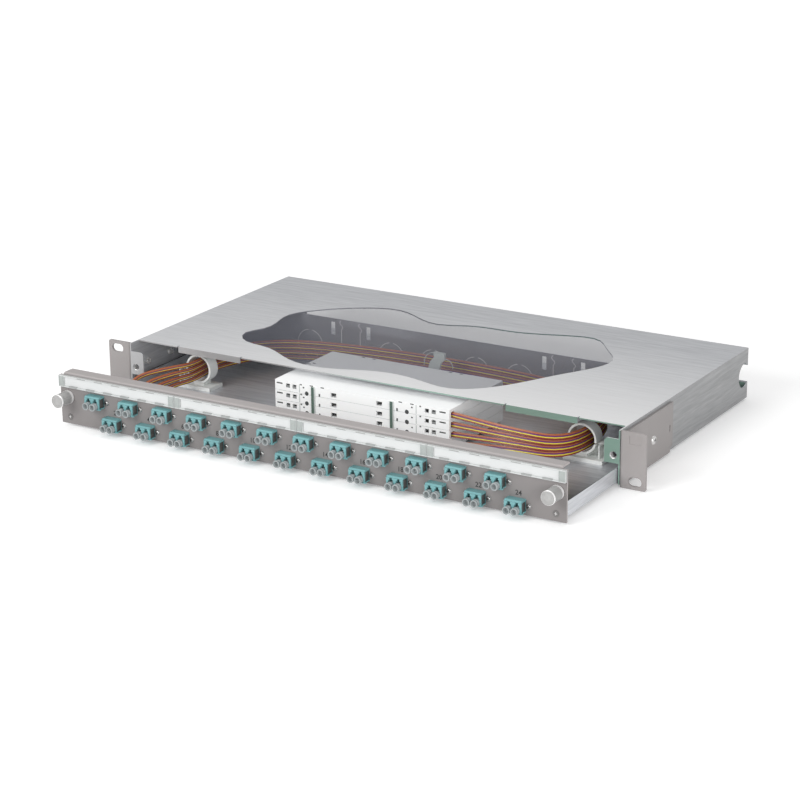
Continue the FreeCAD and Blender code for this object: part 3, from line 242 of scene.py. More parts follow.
def noise(tree, scale, detail, roughness):
    # noise over the object's coordinates times the scale, the middle of its range carried over to 0..1
    source = tree.nodes.new("ShaderNodeTexCoord")
    mapping = tree.nodes.new("ShaderNodeMapping")
    node = tree.nodes.new("ShaderNodeTexNoise")
    feed(tree, source.outputs["Object"], mapping.inputs["Vector"])
    feed(tree, scale, mapping.inputs["Scale"])
    feed(tree, mapping.outputs["Vector"], node.inputs["Vector"])
    for label, value in (("Scale", 1.0), ("Detail", detail), ("Roughness", roughness)):
        node.inputs[label].default_value = value
    return rangeNode(tree, node.outputs["Fac"], 0.3, 0.7, 0.0, 1.0)


def noiseGroup(name, parts):
    # each part is a noise of its own: scale, which can be set where the group is used, detail and roughness
    group = bpy.data.node_groups.new(name, "ShaderNodeTree")
    for label, values in parts.items():
        socket = group.interface.new_socket(name=label, in_out="INPUT", socket_type="NodeSocketVector")
        socket.default_value = values[0]
        group.interface.new_socket(name=label, in_out="OUTPUT", socket_type="NodeSocketFloat")
    given, made = group.nodes.new("NodeGroupInput").outputs, group.nodes.new("NodeGroupOutput").inputs
    for label, values in parts.items():
        feed(group, noise(group, given[label], *values[1:]), made[label])
    return group


# rolled sheet: fine grain stretched along the rolling direction, longer and softer streaks
brushedGrain = noiseGroup("brushedGrain", {"Grain": ((30, 900, 900), 3.0, 0.6),
                                           "Streaks": ((6, 90, 90), 2.0, 0.5)})
# paint and moulded plastic: fine even roughness, a faint broad mottle
fineSkin = noiseGroup("fineSkin", {"Fine": ((2500, 2500, 2500), 2.0, 0.5), "Mottle": ((14, 14, 14), 3.0, 0.5)})


def newMaterial(name, roughness, metallic=0.0):
    material = bpy.data.materials.new(name)
    material.use_nodes = True
    shader = material.node_tree.nodes["Principled BSDF"]
    shader.inputs["Roughness"].default_value = roughness
    shader.inputs["Metallic"].default_value = metallic
    return material, material.node_tree, shader


def place(tree, group):
    node = tree.nodes.new("ShaderNodeGroup")
    node.node_tree = group
    return node


def blend(tree, factor, low, high):
    # colour from low to high with the factor
    node = tree.nodes.new("ShaderNodeMix")
    node.data_type = "RGBA"
    feed(tree, factor, node.inputs["Factor"])
    for slot, value in ((6, low), (7, high)):
        feed(tree, (*value, 1.0) if isinstance(value, tuple) else value, node.inputs[slot])
    return node.outputs[2]


def relief(tree, shader, height, distance):
    node = tree.nodes.new("ShaderNodeBump")
    node.inputs["Distance"].default_value = distance
    feed(tree, height, node.inputs["Height"])
    feed(tree, node.outputs["Normal"], shader.inputs["Normal"])


def splitVector(tree, output):
    # X, Y and Z of the surface's Normal or of its place in the Object
    source = tree.nodes.new("ShaderNodeNewGeometry" if output == "Normal" else "ShaderNodeTexCoord")
    split = tree.nodes.new("ShaderNodeSeparateXYZ")
    feed(tree, source.outputs[output], split.inputs[0])
    return [split.outputs[axis] for axis in "XYZ"]


def alongWall(tree, aside, scale):
    # grain scale of a folded sheet: on walls that face sideways it runs along their length
    node = tree.nodes.new("ShaderNodeMix")
    node.data_type = "VECTOR"
    feed(tree, aside, node.inputs["Factor"])
    node.inputs[4].default_value = scale
    node.inputs[5].default_value = (scale[1], scale[0], scale[2])
    return node.outputs[1]


# faces and places that the effects take in: shares of a face's direction, metres from the middle of the front
effects = {
    "aside": 0.6, "level": (0.5, 0.9), "front": (-0.9, -0.7), "skinFront": (-0.9, -0.6), "skinDepth": 0.05,
    "outerWall": 0.2198, "bloom": (0.95, 0.95, 0.95), "bloomAcross": (-0.2, 0.02, 0.42, 1.0),
    "shade": ((0.04, 0.04, 0.042), (0.14, 0.14, 0.145)), "shadeFrom": (-0.05, 0.01), "edgeAcross": (-0.05, 0.03),
    "shine": 0.06, "skinShine": 0.05,
}


def brushedMetal(name, dark, light, roughness, metallic, grain, streaks, height=0.00002, edge=None, fade=None,
                 outside=None, lee=0.0):
    # colour and roughness follow the grain; faces toward the front take their own colour, on the tray as painted
    # shade
    s = effects
    material, tree, shader = newMaterial(name, roughness, metallic)
    faceX, faceY, faceZ = splitVector(tree, "Normal")
    atX, atY = splitVector(tree, "Object")[:2]
    aside = mathNode(tree, "GREATER_THAN", mathNode(tree, "ABSOLUTE", faceX), s["aside"])
    level = rangeNode(tree, faceZ, *s["level"], 0.0, 1.0)
    lines = place(tree, brushedGrain)
    feed(tree, alongWall(tree, aside, grain), lines.inputs["Grain"])
    feed(tree, alongWall(tree, aside, streaks), lines.inputs["Streaks"])
    both = times(tree, mathNode(tree, "ADD", lines.outputs["Grain"], lines.outputs["Streaks"]), 0.5)
    colour = blend(tree, both, dark, light)
    if outside:
        # painted shade on the outsides of the two side walls: darker than the rest of the sheet
        wide = mathNode(tree, "GREATER_THAN", mathNode(tree, "ABSOLUTE", atX), s["outerWall"])
        colour = blend(tree, times(tree, wide, aside), colour, blend(tree, both, *outside))
    if fade:
        # painted highlight: the sheet's level faces are paler toward the front edge, over the first part of its
        # depth, more so right of the middle
        bloom = times(tree, rangeNode(tree, atY, 0.0, *fade, 0.0), rangeNode(tree, atX, *s["bloomAcross"]))
        colour = blend(tree, times(tree, bloom, level), colour, s["bloom"])
    if lee:
        # less light reaches the sheet behind the front plate: it darkens over the first part of its depth
        shade = times(tree, rangeNode(tree, atY, *s["shadeFrom"], lee, 0.0), level)
        colour = blend(tree, shade, colour, blend(tree, both, *s["shade"]))
    if edge:
        # faces toward the front: on the tray a darker grey, painted shade of its rear wall and edges; on the
        # cover a grey to green tint from left to right
        tint = blend(tree, rangeNode(tree, atX, *s["edgeAcross"], 0.0, 1.0), *edge)
        colour = blend(tree, rangeNode(tree, faceY, *s["front"], 1.0, 0.0), colour, tint)
    feed(tree, colour, shader.inputs["Base Color"])
    feed(tree, rangeNode(tree, both, 0.0, 1.0, roughness + s["shine"], roughness - s["shine"]),
         shader.inputs["Roughness"])
    relief(tree, shader, lines.outputs["Grain"], height)
    return material


def skinMaterial(name, base, roughness, fine=2500, variation=0.03, height=0.000015):
    # moulded or painted skin: a faint mottle in the colour, fine roughness in the bump
    material, tree, shader = newMaterial(name, roughness)
    skin = place(tree, fineSkin)
    skin.inputs["Fine"].default_value = (fine, fine, fine)
    low = tuple(c * (1 - variation) for c in base)
    high = tuple(min(1, c * (1 + variation)) for c in base)
    feed(tree, blend(tree, skin.outputs["Mottle"], low, high), shader.inputs["Base Color"])
    shine = effects["skinShine"]
    feed(tree, rangeNode(tree, skin.outputs["Fine"], 0.0, 1.0, roughness - shine, roughness + shine),
         shader.inputs["Roughness"])
    relief(tree, shader, skin.outputs["Fine"], height)
    return material


def facedSkin(name, base, front, roughness):
    # skin with painted shade: its faces toward the front are darker, over the front part of the depth
    material = skinMaterial(name, base, roughness, 1800, 0.02, 0.00002)
    tree = material.node_tree
    target = tree.nodes["Principled BSDF"].inputs["Base Color"]
    near = mathNode(tree, "LESS_THAN", splitVector(tree, "Object")[1], effects["skinDepth"])
    frontShadeMask = rangeNode(tree, splitVector(tree, "Normal")[1], *effects["skinFront"], 1.0, 0.0)
    feed(tree, blend(tree, times(tree, frontShadeMask, near), target.links[0].from_socket, front), target)
    return material


# sheet metal: dark and light of the grain, fineness of grain and streaks, colours of the faces toward the front
# (painted shade on the tray)
sheetMetals = {
    "coverZinc": {
        "dark": (0.45, 0.46, 0.48), "light": (0.63, 0.64, 0.665), "roughness": 0.42, "metallic": 0.5,
        "grain": (60, 1100, 1100), "streaks": (25, 420, 420), "edge": ((0.45, 0.45, 0.455), (0.28, 0.42, 0.355)),
        # painted highlight toward the front edge; painted shade on the outsides of the side walls
        "fade": (0.2, 0.85), "outside": ((0.30, 0.303, 0.31), (0.44, 0.445, 0.45))},
    "trayZinc": {
        "dark": (0.52, 0.535, 0.565), "light": (0.80, 0.815, 0.845), "roughness": 0.36, "metallic": 0.5,
        # edge: painted shade on the faces toward the front, the rear wall among them
        "grain": (50, 900, 900), "streaks": (12, 260, 260), "edge": ((0.40, 0.41, 0.43), (0.40, 0.41, 0.43)),
        "lee": 1.0},
}
# fineness of grain and streaks, height of the grain
screwGrain = ((400, 400, 400), (150, 150, 150))
knobGrain = ((500, 500, 500), (200, 200, 200), 0.000006)
# dark and light colour, roughness, metallic, grain
smallMetals = {
    "screwSteel": ((0.70, 0.69, 0.68), (0.84, 0.83, 0.82), 0.24, 0.65, *screwGrain),
    # black steel; on the screw heads' crosses it is painted shade of their recesses
    "screwBlack": ((0.06, 0.06, 0.06), (0.14, 0.14, 0.14), 0.36, 1.0, *screwGrain),
    "countersunk": ((0.12, 0.115, 0.112), (0.17, 0.163, 0.16), 0.4, 0.0, *screwGrain),
    "fastener": ((0.34, 0.335, 0.33), (0.46, 0.455, 0.45), 0.28, 0.9, *screwGrain),
    # dark clip steel: the clips are real, their darkness is painted shade of the adaptors' side recesses
    "clipSteel": ((0.085, 0.083, 0.08), (0.13, 0.127, 0.123), 0.4, 0.4, *screwGrain),
    "crossBright": ((0.80, 0.80, 0.79), (0.92, 0.92, 0.91), 0.26, 1.0, *screwGrain),
    "knobSteel": ((0.36, 0.357, 0.352), (0.44, 0.437, 0.432), 0.36, 0.35, *knobGrain),
    # painted highlight on the thumb screws' rims and painted shade in their knurl grooves
    "rimSteel": ((0.84, 0.835, 0.83), (0.92, 0.915, 0.91), 0.3, 0.3, *knobGrain),
    "grooveSteel": ((0.26, 0.258, 0.255), (0.34, 0.337, 0.334), 0.45, 0.3, *knobGrain),
}
# roughness, fineness, variation and height of the skin
clear = (0.3, 1200, 0.02, 0.000005)
fibre = (0.36, 3000, 0.05, 0.00001)
# colour, roughness, then where it differs: fineness, variation, height of the skin
skins = {
    "panelPaint": ((0.30, 0.28, 0.276), 0.48, 1800, 0.02, 0.00002),
    "glideBlack": ((0.025, 0.025, 0.027), 0.5),
    "labelClear": ((0.52, 0.535, 0.53), *clear),
    "endClear": ((0.33, 0.355, 0.345), *clear),
    "tabClear": ((0.30, 0.31, 0.305), *clear),
    "labelPaper": ((0.57, 0.58, 0.58), 0.6, 3000, 0.015, 0.00001),
    "adaptorAqua": ((0.155, 0.345, 0.36), 0.38, 2200, 0.04, 0.00001),
    "capGrey": ((0.29, 0.315, 0.32), 0.36, 2200, 0.03, 0.00001),
    "plugBeige": ((0.70, 0.64, 0.52), 0.45),
    "bootWhite": ((0.78, 0.78, 0.76), 0.5),
    "cassetteWhite": ((0.96, 0.97, 0.97), 0.5, 1800, 0.01, 0.000015),
    "grilleGrey": ((0.24, 0.25, 0.25), 0.6),
    # painted shade of the cassettes' slots and holes, and their small dark marks
    "cassetteDark": ((0.07, 0.075, 0.075), 0.8),
    "holderGrey": ((0.52, 0.56, 0.545), 0.45, 1800, 0.02, 0.000015),
    "ringWhite": ((0.80, 0.82, 0.80), 0.42, 1800, 0.02, 0.000015),
    "cutLine": ((0.88, 0.885, 0.89), 0.4),
    "ink": ((0.018, 0.018, 0.018), 0.6),
    "fibreOrange": ((0.40, 0.12, 0.045), *fibre),
    "fibreViolet": ((0.15, 0.02, 0.20), *fibre),
    "fibreYellow": ((0.74, 0.62, 0.06), *fibre),
    "fibreMaroon": ((0.26, 0.02, 0.024), *fibre),
}
finish = {name: skinMaterial(name, *values) for name, values in skins.items()}
finish.update({name: brushedMetal(name, *values) for name, values in smallMetals.items()})
finish.update({name: brushedMetal(name, **values) for name, values in sheetMetals.items()})
# painted shade on the faces of the front plate and of the cassette holder that look toward the front
finish["platePaint"] = facedSkin("platePaint", (0.37, 0.345, 0.34), (0.205, 0.191, 0.189), 0.48)
finish["holderStrap"] = facedSkin("holderStrap", (0.60, 0.64, 0.62), (0.10, 0.155, 0.13), 0.45)

paneLook = {"colour": (0.10, 0.105, 0.145), "roughness": 0.12, "alpha": 0.25, "shine": 0.2}


def tintedPane():
    # smoke-tinted sheet: part of the light passes, the rest meets a dull grey
    s = paneLook
    material, tree, shader = newMaterial("tintedPane", s["roughness"])
    mottle = place(tree, fineSkin).outputs["Mottle"]
    paler = tuple(c * 1.04 for c in s["colour"])
    feed(tree, blend(tree, mottle, s["colour"], paler), shader.inputs["Base Color"])
    shader.inputs["Alpha"].default_value = s["alpha"]
    shader.inputs["Specular IOR Level"].default_value = s["shine"]
    return material


finish["windowTint"] = tintedPane()
print("materials ready")

# nodes of the frame with a finish of their own
nodeFinish = {
    "drawer_tray": "trayZinc", "housing_floor": "trayZinc", "front_plate": "platePaint",
    "cassette_holder": "holderStrap", "cassette_clips": "holderStrap", "plate_screws": "countersunk",
}


def finishOf(entry):
    # other nodes take the finish named like their slot, glideBlack for glide_black, and coverZinc for zinc_sheet
    first, second = entry["material_slot"].split("_", 1)
    usual = "coverZinc" if first == "zinc" else first + second.capitalize()
    return finish.get(nodeFinish.get(entry["node"], usual))


for entry in frame["record"]["subparts"]:
    look = finishOf(entry)
    if look:
        materials = nodes[entry["node"]].data.materials
        materials.clear()
        materials.append(look)
print("frame finished")

adaptorSizes = {
    "halfWidth": 6.9, "below": 4.5, "above": 5.4, "front": 7.1, "rear": 19.0, "flange": 11.2, "flangeHalf": 4.4,
    "sheet": 1.5, "flangeBack": 3.2, "portSpacing": 6.4, "portHalf": 2.45, "portDrop": 1.6, "portDepth": 8.0,
    "slopeDepth": 2.2, "slopeDrop": 1.2, "recess": 0.8, "frame": 1.3, "roof": 1.5, "foot": 0.9,
    "footOut": 1.0, "rearFrom": 12.0, "clipThick": 0.22, "bevel": 0.22,
    "keyWidth": (1.9, 1.1), "keyHeight": 1.6, "screwSpread": 9.2,
}
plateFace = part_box("front_plate")[0].y / mm
# middle of each adaptor on the screw line, from the boxes of the frame's own adaptors
boxes = [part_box(f"adaptor_{number:02d}") for number in range(1, 25)]
places = np.array([((low.x + high.x) / 2 / mm, low.z / mm + adaptorSizes["below"]) for low, high in boxes])


def adaptorShell():
    # box grid with the two ports, their keyed latch slots and the side recesses left empty
    s = adaptorSizes
    port, half, mid, front = s["portSpacing"] / 2, s["portHalf"], -s["portDrop"], s["front"]
    wide, narrow = s["keyWidth"]
    wall, bottom, top = s["halfWidth"] - s["recess"], s["foot"] - s["below"], s["above"] - s["roof"]
    key = mid + half + s["keyHeight"]
    side = sorted({s["halfWidth"], wall, port + half, port + wide, port + narrow, port - narrow, port - wide,
                   port - half, s["flange"]})
    xs = np.array(sorted([-v for v in side] + side))
    ys = np.array([-front, s["frame"] - front, s["slopeDepth"] - front, 0.0, s["portDepth"] - front, s["sheet"],
                   s["flangeBack"], s["rearFrom"], s["rear"]])
    zs = np.array(sorted({-s["below"], -s["flangeHalf"], bottom, mid - half, mid, mid + half, key,
                          key + s["keyHeight"], top, s["flangeHalf"], s["above"]}))
    x, y, z = ((v[1:] + v[:-1]) / 2 for v in (xs, ys, zs))
    gx, gy, gz = np.meshgrid(x, y, z, indexing="ij")
    off = np.abs(np.abs(gx) - port)
    body = np.abs(gx) < s["halfWidth"]
    flange = (gy > s["sheet"]) & (gy < s["flangeBack"]) & (np.abs(gz) < s["flangeHalf"])
    deep = gy < s["portDepth"] - front
    mouth = (off < half) & (np.abs(gz - mid) < half)
    keyLow = (off < wide) & (gz > mid) & (gz < key) & deep
    keyHigh = (off < narrow) & (gz > mid) & (gz < key + s["keyHeight"]) & deep
    rear = mouth & (gy > s["rearFrom"])
    clip = (np.abs(gx) > wall) & (gy > s["frame"] - front) & (gy < s["sheet"] / 2) & (gz > bottom) & (gz < top)
    filled = (body & ~(keyLow | keyHigh | rear | clip) | flange) & ~(mouth & deep)
    points, faces = cellSolid(xs, ys, zs, filled)
    edge = (np.abs(points[:, 1] + front) < 1e-6) & (np.abs(points[:, 2] - s["above"]) < 1e-6)
    points[edge, 2] -= s["slopeDrop"]
    # a small latch foot stands out at the lower front corner of each side
    feet = []
    for side in (-1, 1):
        ends = sorted((side * (s["halfWidth"] - 0.3), side * (s["halfWidth"] + s["footOut"])))
        feet.append(softBlock((ends[0], 0.25 - front, -s["below"]),
                              (ends[1], s["frame"] - front + 0.3, bottom), 0.1))
    return joined([(points, faces)] + feet)


def screwHead(radius, height, segments):
    # domed head: radius * cos(t) ^ 0.6 at height * sin(t)
    t = np.linspace(0, np.pi / 2, 6)
    profile = np.stack([radius * np.cos(t) ** 0.6, -height * np.sin(t)], axis=1)
    profile = np.concatenate([[[radius, 0.05]], profile])
    profile[-1, 0] = 0.001
    return turned(profile, (0, 0, 0), segments)


def crossMark(size, arm, depths, axis=1):
    # plus sign of a square grid: the cells of its middle row and middle column, between two depths
    cuts = [[-size, -arm, arm, size]] * 3
    cuts[axis] = sorted(depths)
    plus = np.zeros((3, 3), bool)
    plus[1, :] = plus[:, 1] = True
    return cellSolid(*cuts, np.expand_dims(plus, axis))


def shifted(part, offset):
    return part[0] + np.asarray(offset, float), part[1]


shell = adaptorShell()
for number, (x, z) in enumerate(places, start=1):
    piece = makePiece(f"duplexAdaptor{number:02d}", [shifted(shell, (x, plateFace, z))], "adaptorAqua",
                      bevel=adaptorSizes["bevel"])
    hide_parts(f"adaptor_{number:02d}")

capSizes = {"head": 2.95, "insert": 2.3, "wall": 0.75, "out": 4.2, "inside": 6.4, "hollow": 3.0, "sides": 20}


def dustCap():
    # hollow cap: wall profile turned about the port's axis, a wide ribbed head on a narrower insert
    s = capSizes
    r, n, w = s["head"], s["insert"], s["wall"]
    profile = [(r - 0.35, 0.0), (r - 0.08, 0.12), (r, 0.4), (r, 1.5), (r - 0.35, 1.8), (r - 0.35, 2.5),
               (r - 0.1, 2.8), (r - 0.1, s["out"] - 0.1), (n, s["out"]), (n, s["out"] + s["inside"]),
               (0.01, s["out"] + s["inside"]), (0.01, s["hollow"]), (r - w - 0.45, s["hollow"]),
               (r - w - 0.1, 0.2), (r - w, 0.02), (r - 0.35, 0.0)]
    return turned(profile, (0, 0, 0), s["sides"])


def springClip(x, z, side):
    # sprung steel plate in the recess on an adaptor's side, made dark as painted shade of the recess
    s = adaptorSizes
    wall = s["halfWidth"] - s["recess"]
    ends = sorted((x + side * (wall - 0.02), x + side * (wall + s["clipThick"])))
    return softBlock((ends[0], plateFace - s["front"] + s["frame"] + 0.1, z - s["below"] + s["foot"] + 0.1),
                     (ends[1], plateFace - 0.02, z + s["above"] - s["roof"] - 0.1), 0.05)


# screws beside each port, rear plugs with their ribbed boots: (radius, distance behind the adaptor)
fittingSizes = {
    "head": 1.9, "dome": 1.15, "sides": 14, "washer": [(2.25, 0.0), (2.25, -0.25), (1.7, -0.3)],
    "cross": (1.0, 0.24, (-1.18, -1.12)), "bootSides": 12, "plugHalf": 2.25, "plugIn": 7.9, "plugOut": 10.0,
    "plugSoft": 0.3,
    "boot": [(1.9, 9.8), (1.75, 11.0), (1.75, 12.0), (1.45, 12.3), (1.6, 13.6), (1.35, 13.9), (1.5, 15.2),
             (1.25, 15.5), (1.4, 16.8), (1.15, 17.1), (1.3, 18.4), (1.05, 18.7), (1.15, 20.2), (0.95, 20.6),
             (0.85, 27.9), (0.3, 28.0)],
}


def rearPlug(port, low):
    # square plug body that reaches into the rear port
    s = fittingSizes
    rear, half = plateFace + adaptorSizes["rear"], s["plugHalf"]
    return softBlock((port - half, rear - s["plugIn"], low - half),
                     (port + half, rear + s["plugOut"], low + half), s["plugSoft"])


cap = dustCap()
head = screwHead(fittingSizes["head"], fittingSizes["dome"], fittingSizes["sides"])
washer = turned(fittingSizes["washer"], (0, 0, 0), fittingSizes["sides"])
mark = crossMark(*fittingSizes["cross"])
capParts, screwParts, crossParts, plugParts, bootParts, clipParts = [], [], [], [], [], []
for x, z in places:
    for side in (-1, 1):
        port = x + side * adaptorSizes["portSpacing"] / 2
        low = z - adaptorSizes["portDrop"]
        at = (x + side * adaptorSizes["screwSpread"], plateFace, z)
        capParts.append(shifted(cap, (port, plateFace - adaptorSizes["front"] - capSizes["out"], low)))
        clipParts.append(springClip(x, z, side))
        screwParts += [shifted(head, at), shifted(washer, at)]
        crossParts.append(shifted(mark, at))
        plugParts.append(rearPlug(port, low))
        bootParts.append(turned(fittingSizes["boot"], (port, plateFace + adaptorSizes["rear"], low),
                                fittingSizes["bootSides"]))
piece = makePiece("dustCapSet", capParts, "capGrey")
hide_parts("dust_caps")
piece = makePiece("adaptorScrewSet", screwParts, "fastener")
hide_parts("adaptor_screws")
makePiece("adaptorClips", clipParts, "clipSteel")
# dark crosses on the adaptor screws: painted shade of their cross recesses
makePiece("adaptorScrewCrosses", crossParts, "screwBlack", smooth=False)
piece = makePiece("pigtailPlugSet", plugParts, "plugBeige")
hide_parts("pigtail_plugs")
makePiece("pigtailBoots", bootParts, "bootWhite")
print("adaptors made")

# figures beside the even ports; a figure's height is the font's size over sizeShare
numberStyle = {"height": 3.8, "lift": 8.9, "aside": 1.0, "thickness": 0.05, "bold": 0.09, "sizeShare": 1.38}


def portNumber(number, x, z):
    # flat figure, turned upright onto the plate's face, then made a mesh with its place in it
    s = numberStyle
    curve = bpy.data.curves.new(f"figure{number}", "FONT")
    curve.body = str(number)
    curve.size = s["height"] * mm * s["sizeShare"]
    curve.align_x = curve.align_y = "CENTER"
    curve.extrude = s["thickness"] * mm / 2
    curve.offset = s["bold"] * mm
    holder = addObject(f"figure{number}", curve)
    bpy.context.view_layer.update()
    mesh = bpy.data.meshes.new_from_object(holder)
    bpy.data.objects.remove(holder)
    mesh.transform(Matrix.Translation(Vector((x, plateFace, z)) * mm) @ Matrix.Rotation(math.pi / 2, 4, "X"))
    piece = addObject(f"portNumber{number:02d}", mesh)
    mesh.materials.clear()
    mesh.materials.append(finish["ink"])
    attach(piece, "drawer")


for number in range(2, 25, 2):
    x, z = places[number - 1]
    portNumber(number, x + numberStyle["aside"], z + numberStyle["lift"])
print("numbers made")

labelStyle = {"end": 5.2, "tabPitch": 16.6, "tabWidth": 8.0, "tabHeight": 0.9, "tabDeep": 0.9, "tabSoft": 0.15,
              "lip": 0.6, "depth": 0.3, "proud": 0.12, "ribs": (0.3, 4.0), "rib": 0.5}


def labelTrim():
    # end pieces with two ribs; tabs along the lower lip at an even pitch, and along the upper lip between them
    s = labelStyle
    tabs, ends = [], []
    for k in range(1, 5):
        low, high = (np.array(v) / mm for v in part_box(f"label_holder_{k}"))
        for start in (low[0] + 0.1, high[0] - s["end"] + 0.1):
            ends.append(softBlock((start, low[1] - 0.06, low[2] + s["lip"] + 0.1),
                                  (start + s["end"] - 0.2, low[1] + 0.5, high[2] - s["lip"] - 0.1), 0.1))
            ends += [softBlock((start + at, low[1] - 0.2, low[2] + 0.4),
                               (start + at + s["rib"], low[1] + 0.3, high[2] - 0.4), 0.1) for at in s["ribs"]]
        span = high[0] - low[0] - 2 * s["end"]
        count = int(span // s["tabPitch"])
        first = low[0] + s["end"] + (span - (count - 1) * s["tabPitch"]) / 2
        for i in range(count):
            middle = first + i * s["tabPitch"]
            tabs.append(softBlock((middle - s["tabWidth"] / 2, low[1] - s["proud"], low[2] + 0.3),
                                  (middle + s["tabWidth"] / 2, low[1] + s["tabDeep"],
                                   low[2] + s["lip"] + s["tabHeight"]), s["tabSoft"]))
            if i < count - 1:
                start = middle + s["tabPitch"] / 2 - s["tabWidth"] / 2
                tabs.append(softBlock((start, low[1] - s["proud"], high[2] - s["lip"] - s["depth"] - 0.1),
                                      (start + s["tabWidth"], low[1] + s["tabDeep"], high[2] - 0.3),
                                      s["tabSoft"]))
    makePiece("labelTabs", tabs, "tabClear")
    makePiece("labelEnds", ends, "endClear")


labelTrim()
print("labels made")

thumbStyle = {
    "radius": 5.5, "knurl": 5.36, "depth": 0.42, "teeth": 32, "slant": 3.2, "rings": 30, "length": 14.3,
    "rim": 1.3, "collar": 2.6, "groove": 0.8, "rimWidth": 0.3, "flat": 0.97, "bandFrom": 4.8, "neck": 5.0,
    "sides": 64, "shank": 2.0, "shankLength": 9.6, "tip": 0.4,
    "face": [(0.01, 0.30), (2.9, 0.30), (3.0, 0.42), (3.25, 0.42), (3.35, 0.24), (4.3, 0.16), (4.4, 0.30),
             (4.6, 0.30), (4.7, 0.08)],
}


def knobFinish(piece, name):
    # painted highlight on the smooth rims, painted shade in the knurl's grooves: chosen by the radius of each
    # face's middle, sqrt(x^2 + z^2)
    s = thumbStyle
    low, high = (np.array(v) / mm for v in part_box(name))
    count = len(piece.data.polygons)
    middles, ways = np.zeros(count * 3), np.zeros(count * 3)
    piece.data.polygons.foreach_get("center", middles)
    piece.data.polygons.foreach_get("normal", ways)
    middles, ways = middles.reshape(-1, 3) / mm, ways.reshape(-1, 3)
    radius = np.hypot(middles[:, 0] - (low[0] + high[0]) / 2, middles[:, 2] - (low[2] + high[2]) / 2)
    along = middles[:, 1] - low[1]
    rim = (radius > s["radius"] - s["rimWidth"]) & (np.abs(ways[:, 1]) < s["flat"])
    band = (along > s["rim"]) & (along < s["length"] - s["collar"]) & (radius > s["bandFrom"])
    groove = band & (radius < s["knurl"] - s["depth"] * s["groove"])
    look = np.where(groove, 2, np.where(rim & ~band, 1, 0)).astype(np.int32)
    piece.data.polygons.foreach_set("material_index", look)
    piece.data.update()


def knurledKnob(side):
    # two crossed sets of grooves between smooth rims:
    # radius = knurl - depth * (1 - |sin(n a + k y)| * |sin(n a - k y)|), n half the teeth and k the slant
    s = thumbStyle
    low, high = (np.array(v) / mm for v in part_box("thumb_screw_left" if side < 0 else "thumb_screw_right"))
    centre = np.array([(low[0] + high[0]) / 2, 0, (low[2] + high[2]) / 2])
    front, r, end = low[1], s["radius"], s["length"]
    angle = np.linspace(0, 2 * np.pi, s["teeth"] * 4, endpoint=False)
    y = np.linspace(front + s["rim"], front + end - s["collar"], s["rings"])
    a, yy = np.meshgrid(angle * s["teeth"] / 2, y * s["slant"])
    radius = s["knurl"] - s["depth"] * (1 - np.abs(np.sin(a + yy)) * np.abs(np.sin(a - yy)))
    along = np.broadcast_to(y[:, None], a.shape)
    band = np.stack([radius * np.cos(angle), along, radius * np.sin(angle)], axis=-1)
    face = s["face"] + [(r - 0.22, 0.0), (r - 0.05, 0.1), (r, 0.28), (r, s["rim"]), (s["neck"], s["rim"] + 0.02)]
    tip = end + s["shankLength"] + s["tip"]
    rear = [(s["neck"], end - s["collar"] - 0.02), (r, end - s["collar"]), (r, end - 0.3), (r - 0.25, end),
            (s["shank"], end), (s["shank"], end + s["shankLength"]), (s["shank"] - s["tip"], tip), (0.01, tip)]
    return [(band.reshape(-1, 3) + centre, gridFaces(len(y), len(angle)))] + [
        turned(p, centre + (0, front, 0), s["sides"]) for p in (face, rear)]


for side, name in ((-1, "left"), (1, "right")):
    piece = makePiece(f"thumbScrew{name.capitalize()}", knurledKnob(side),
                      ("knobSteel", "rimSteel", "grooveSteel"), f"thumb_{name}")
    knobFinish(piece, f"thumb_screw_{name}")
    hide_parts(f"thumb_screw_{name}")
print("thumb screws made")

plateScrewStyle = {"head": [(2.5, 0.0), (2.45, -0.42), (2.2, -0.5), (1.95, -0.44), (0.01, -0.46)], "inset": 2.5,
                   "sides": 28, "cross": (1.15, 0.2, (-0.52, -0.46))}


def countersunkSet():
    # flat dished heads: profile turned about the screw's axis, with a raised bright cross recess
    s = plateScrewStyle
    heads, marks = [], []
    low, high = (np.array(v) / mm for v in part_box("plate_screws"))
    for x in (low[0] + s["inset"], high[0] - s["inset"]):
        at = (x, plateFace, (low[2] + high[2]) / 2)
        heads.append(turned(s["head"], at, s["sides"]))
        marks.append(shifted(crossMark(*s["cross"]), at))
    makePiece("plateScrewHeads", heads, "countersunk")
    makePiece("plateScrewCrosses", marks, "crossBright", smooth=False)


bracketStyle = {"along": (21.0, 52.5), "height": {1: 20.5, -1: 23.1}, "face": 222.2, "head": 3.6, "dome": 1.6,
                "shank": 2.0, "chamfer": 0.35, "end": 217.2, "cross": 1.7, "arm": 0.42, "mark": 0.05, "sides": 24}


def bracketScrewSet():
    # pan heads on the outside of the brackets, radius head * cos(t) ^ 0.5 at dome * sin(t), shanks through to the
    # press nuts, a dark cross on each head as painted shade of its recess
    s = bracketStyle
    t = np.linspace(0, np.pi / 2, 7)
    dome = np.stack([s["head"] * np.cos(t) ** 0.5, s["face"] + s["dome"] * np.sin(t)], axis=1)
    dome[-1, 0] = 0.01
    profile = np.concatenate([[(0.01, s["end"]), (s["shank"] - s["chamfer"], s["end"]),
                               (s["shank"], s["end"] + s["chamfer"]), (s["shank"], s["face"]),
                               (s["head"], s["face"])], dome])
    skin = s["face"] + s["dome"]
    bodies, marks = [], []
    for side in (-1, 1):
        for y in s["along"]:
            centre = (0, y, s["height"][side])
            bodies.append(turned(profile * (1, side), centre, s["sides"], "x"))
            cross = crossMark(s["cross"], s["arm"], (side * (skin - s["mark"]), side * skin), axis=0)
            marks.append(shifted(cross, centre))
    piece = makePiece("bracketScrewSet", bodies, "screwSteel", "housing")
    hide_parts("bracket_screws")
    makePiece("bracketScrewCrosses", marks, "screwBlack", "housing", smooth=False)


bracketScrewSet()
countersunkSet()
print("screws made")

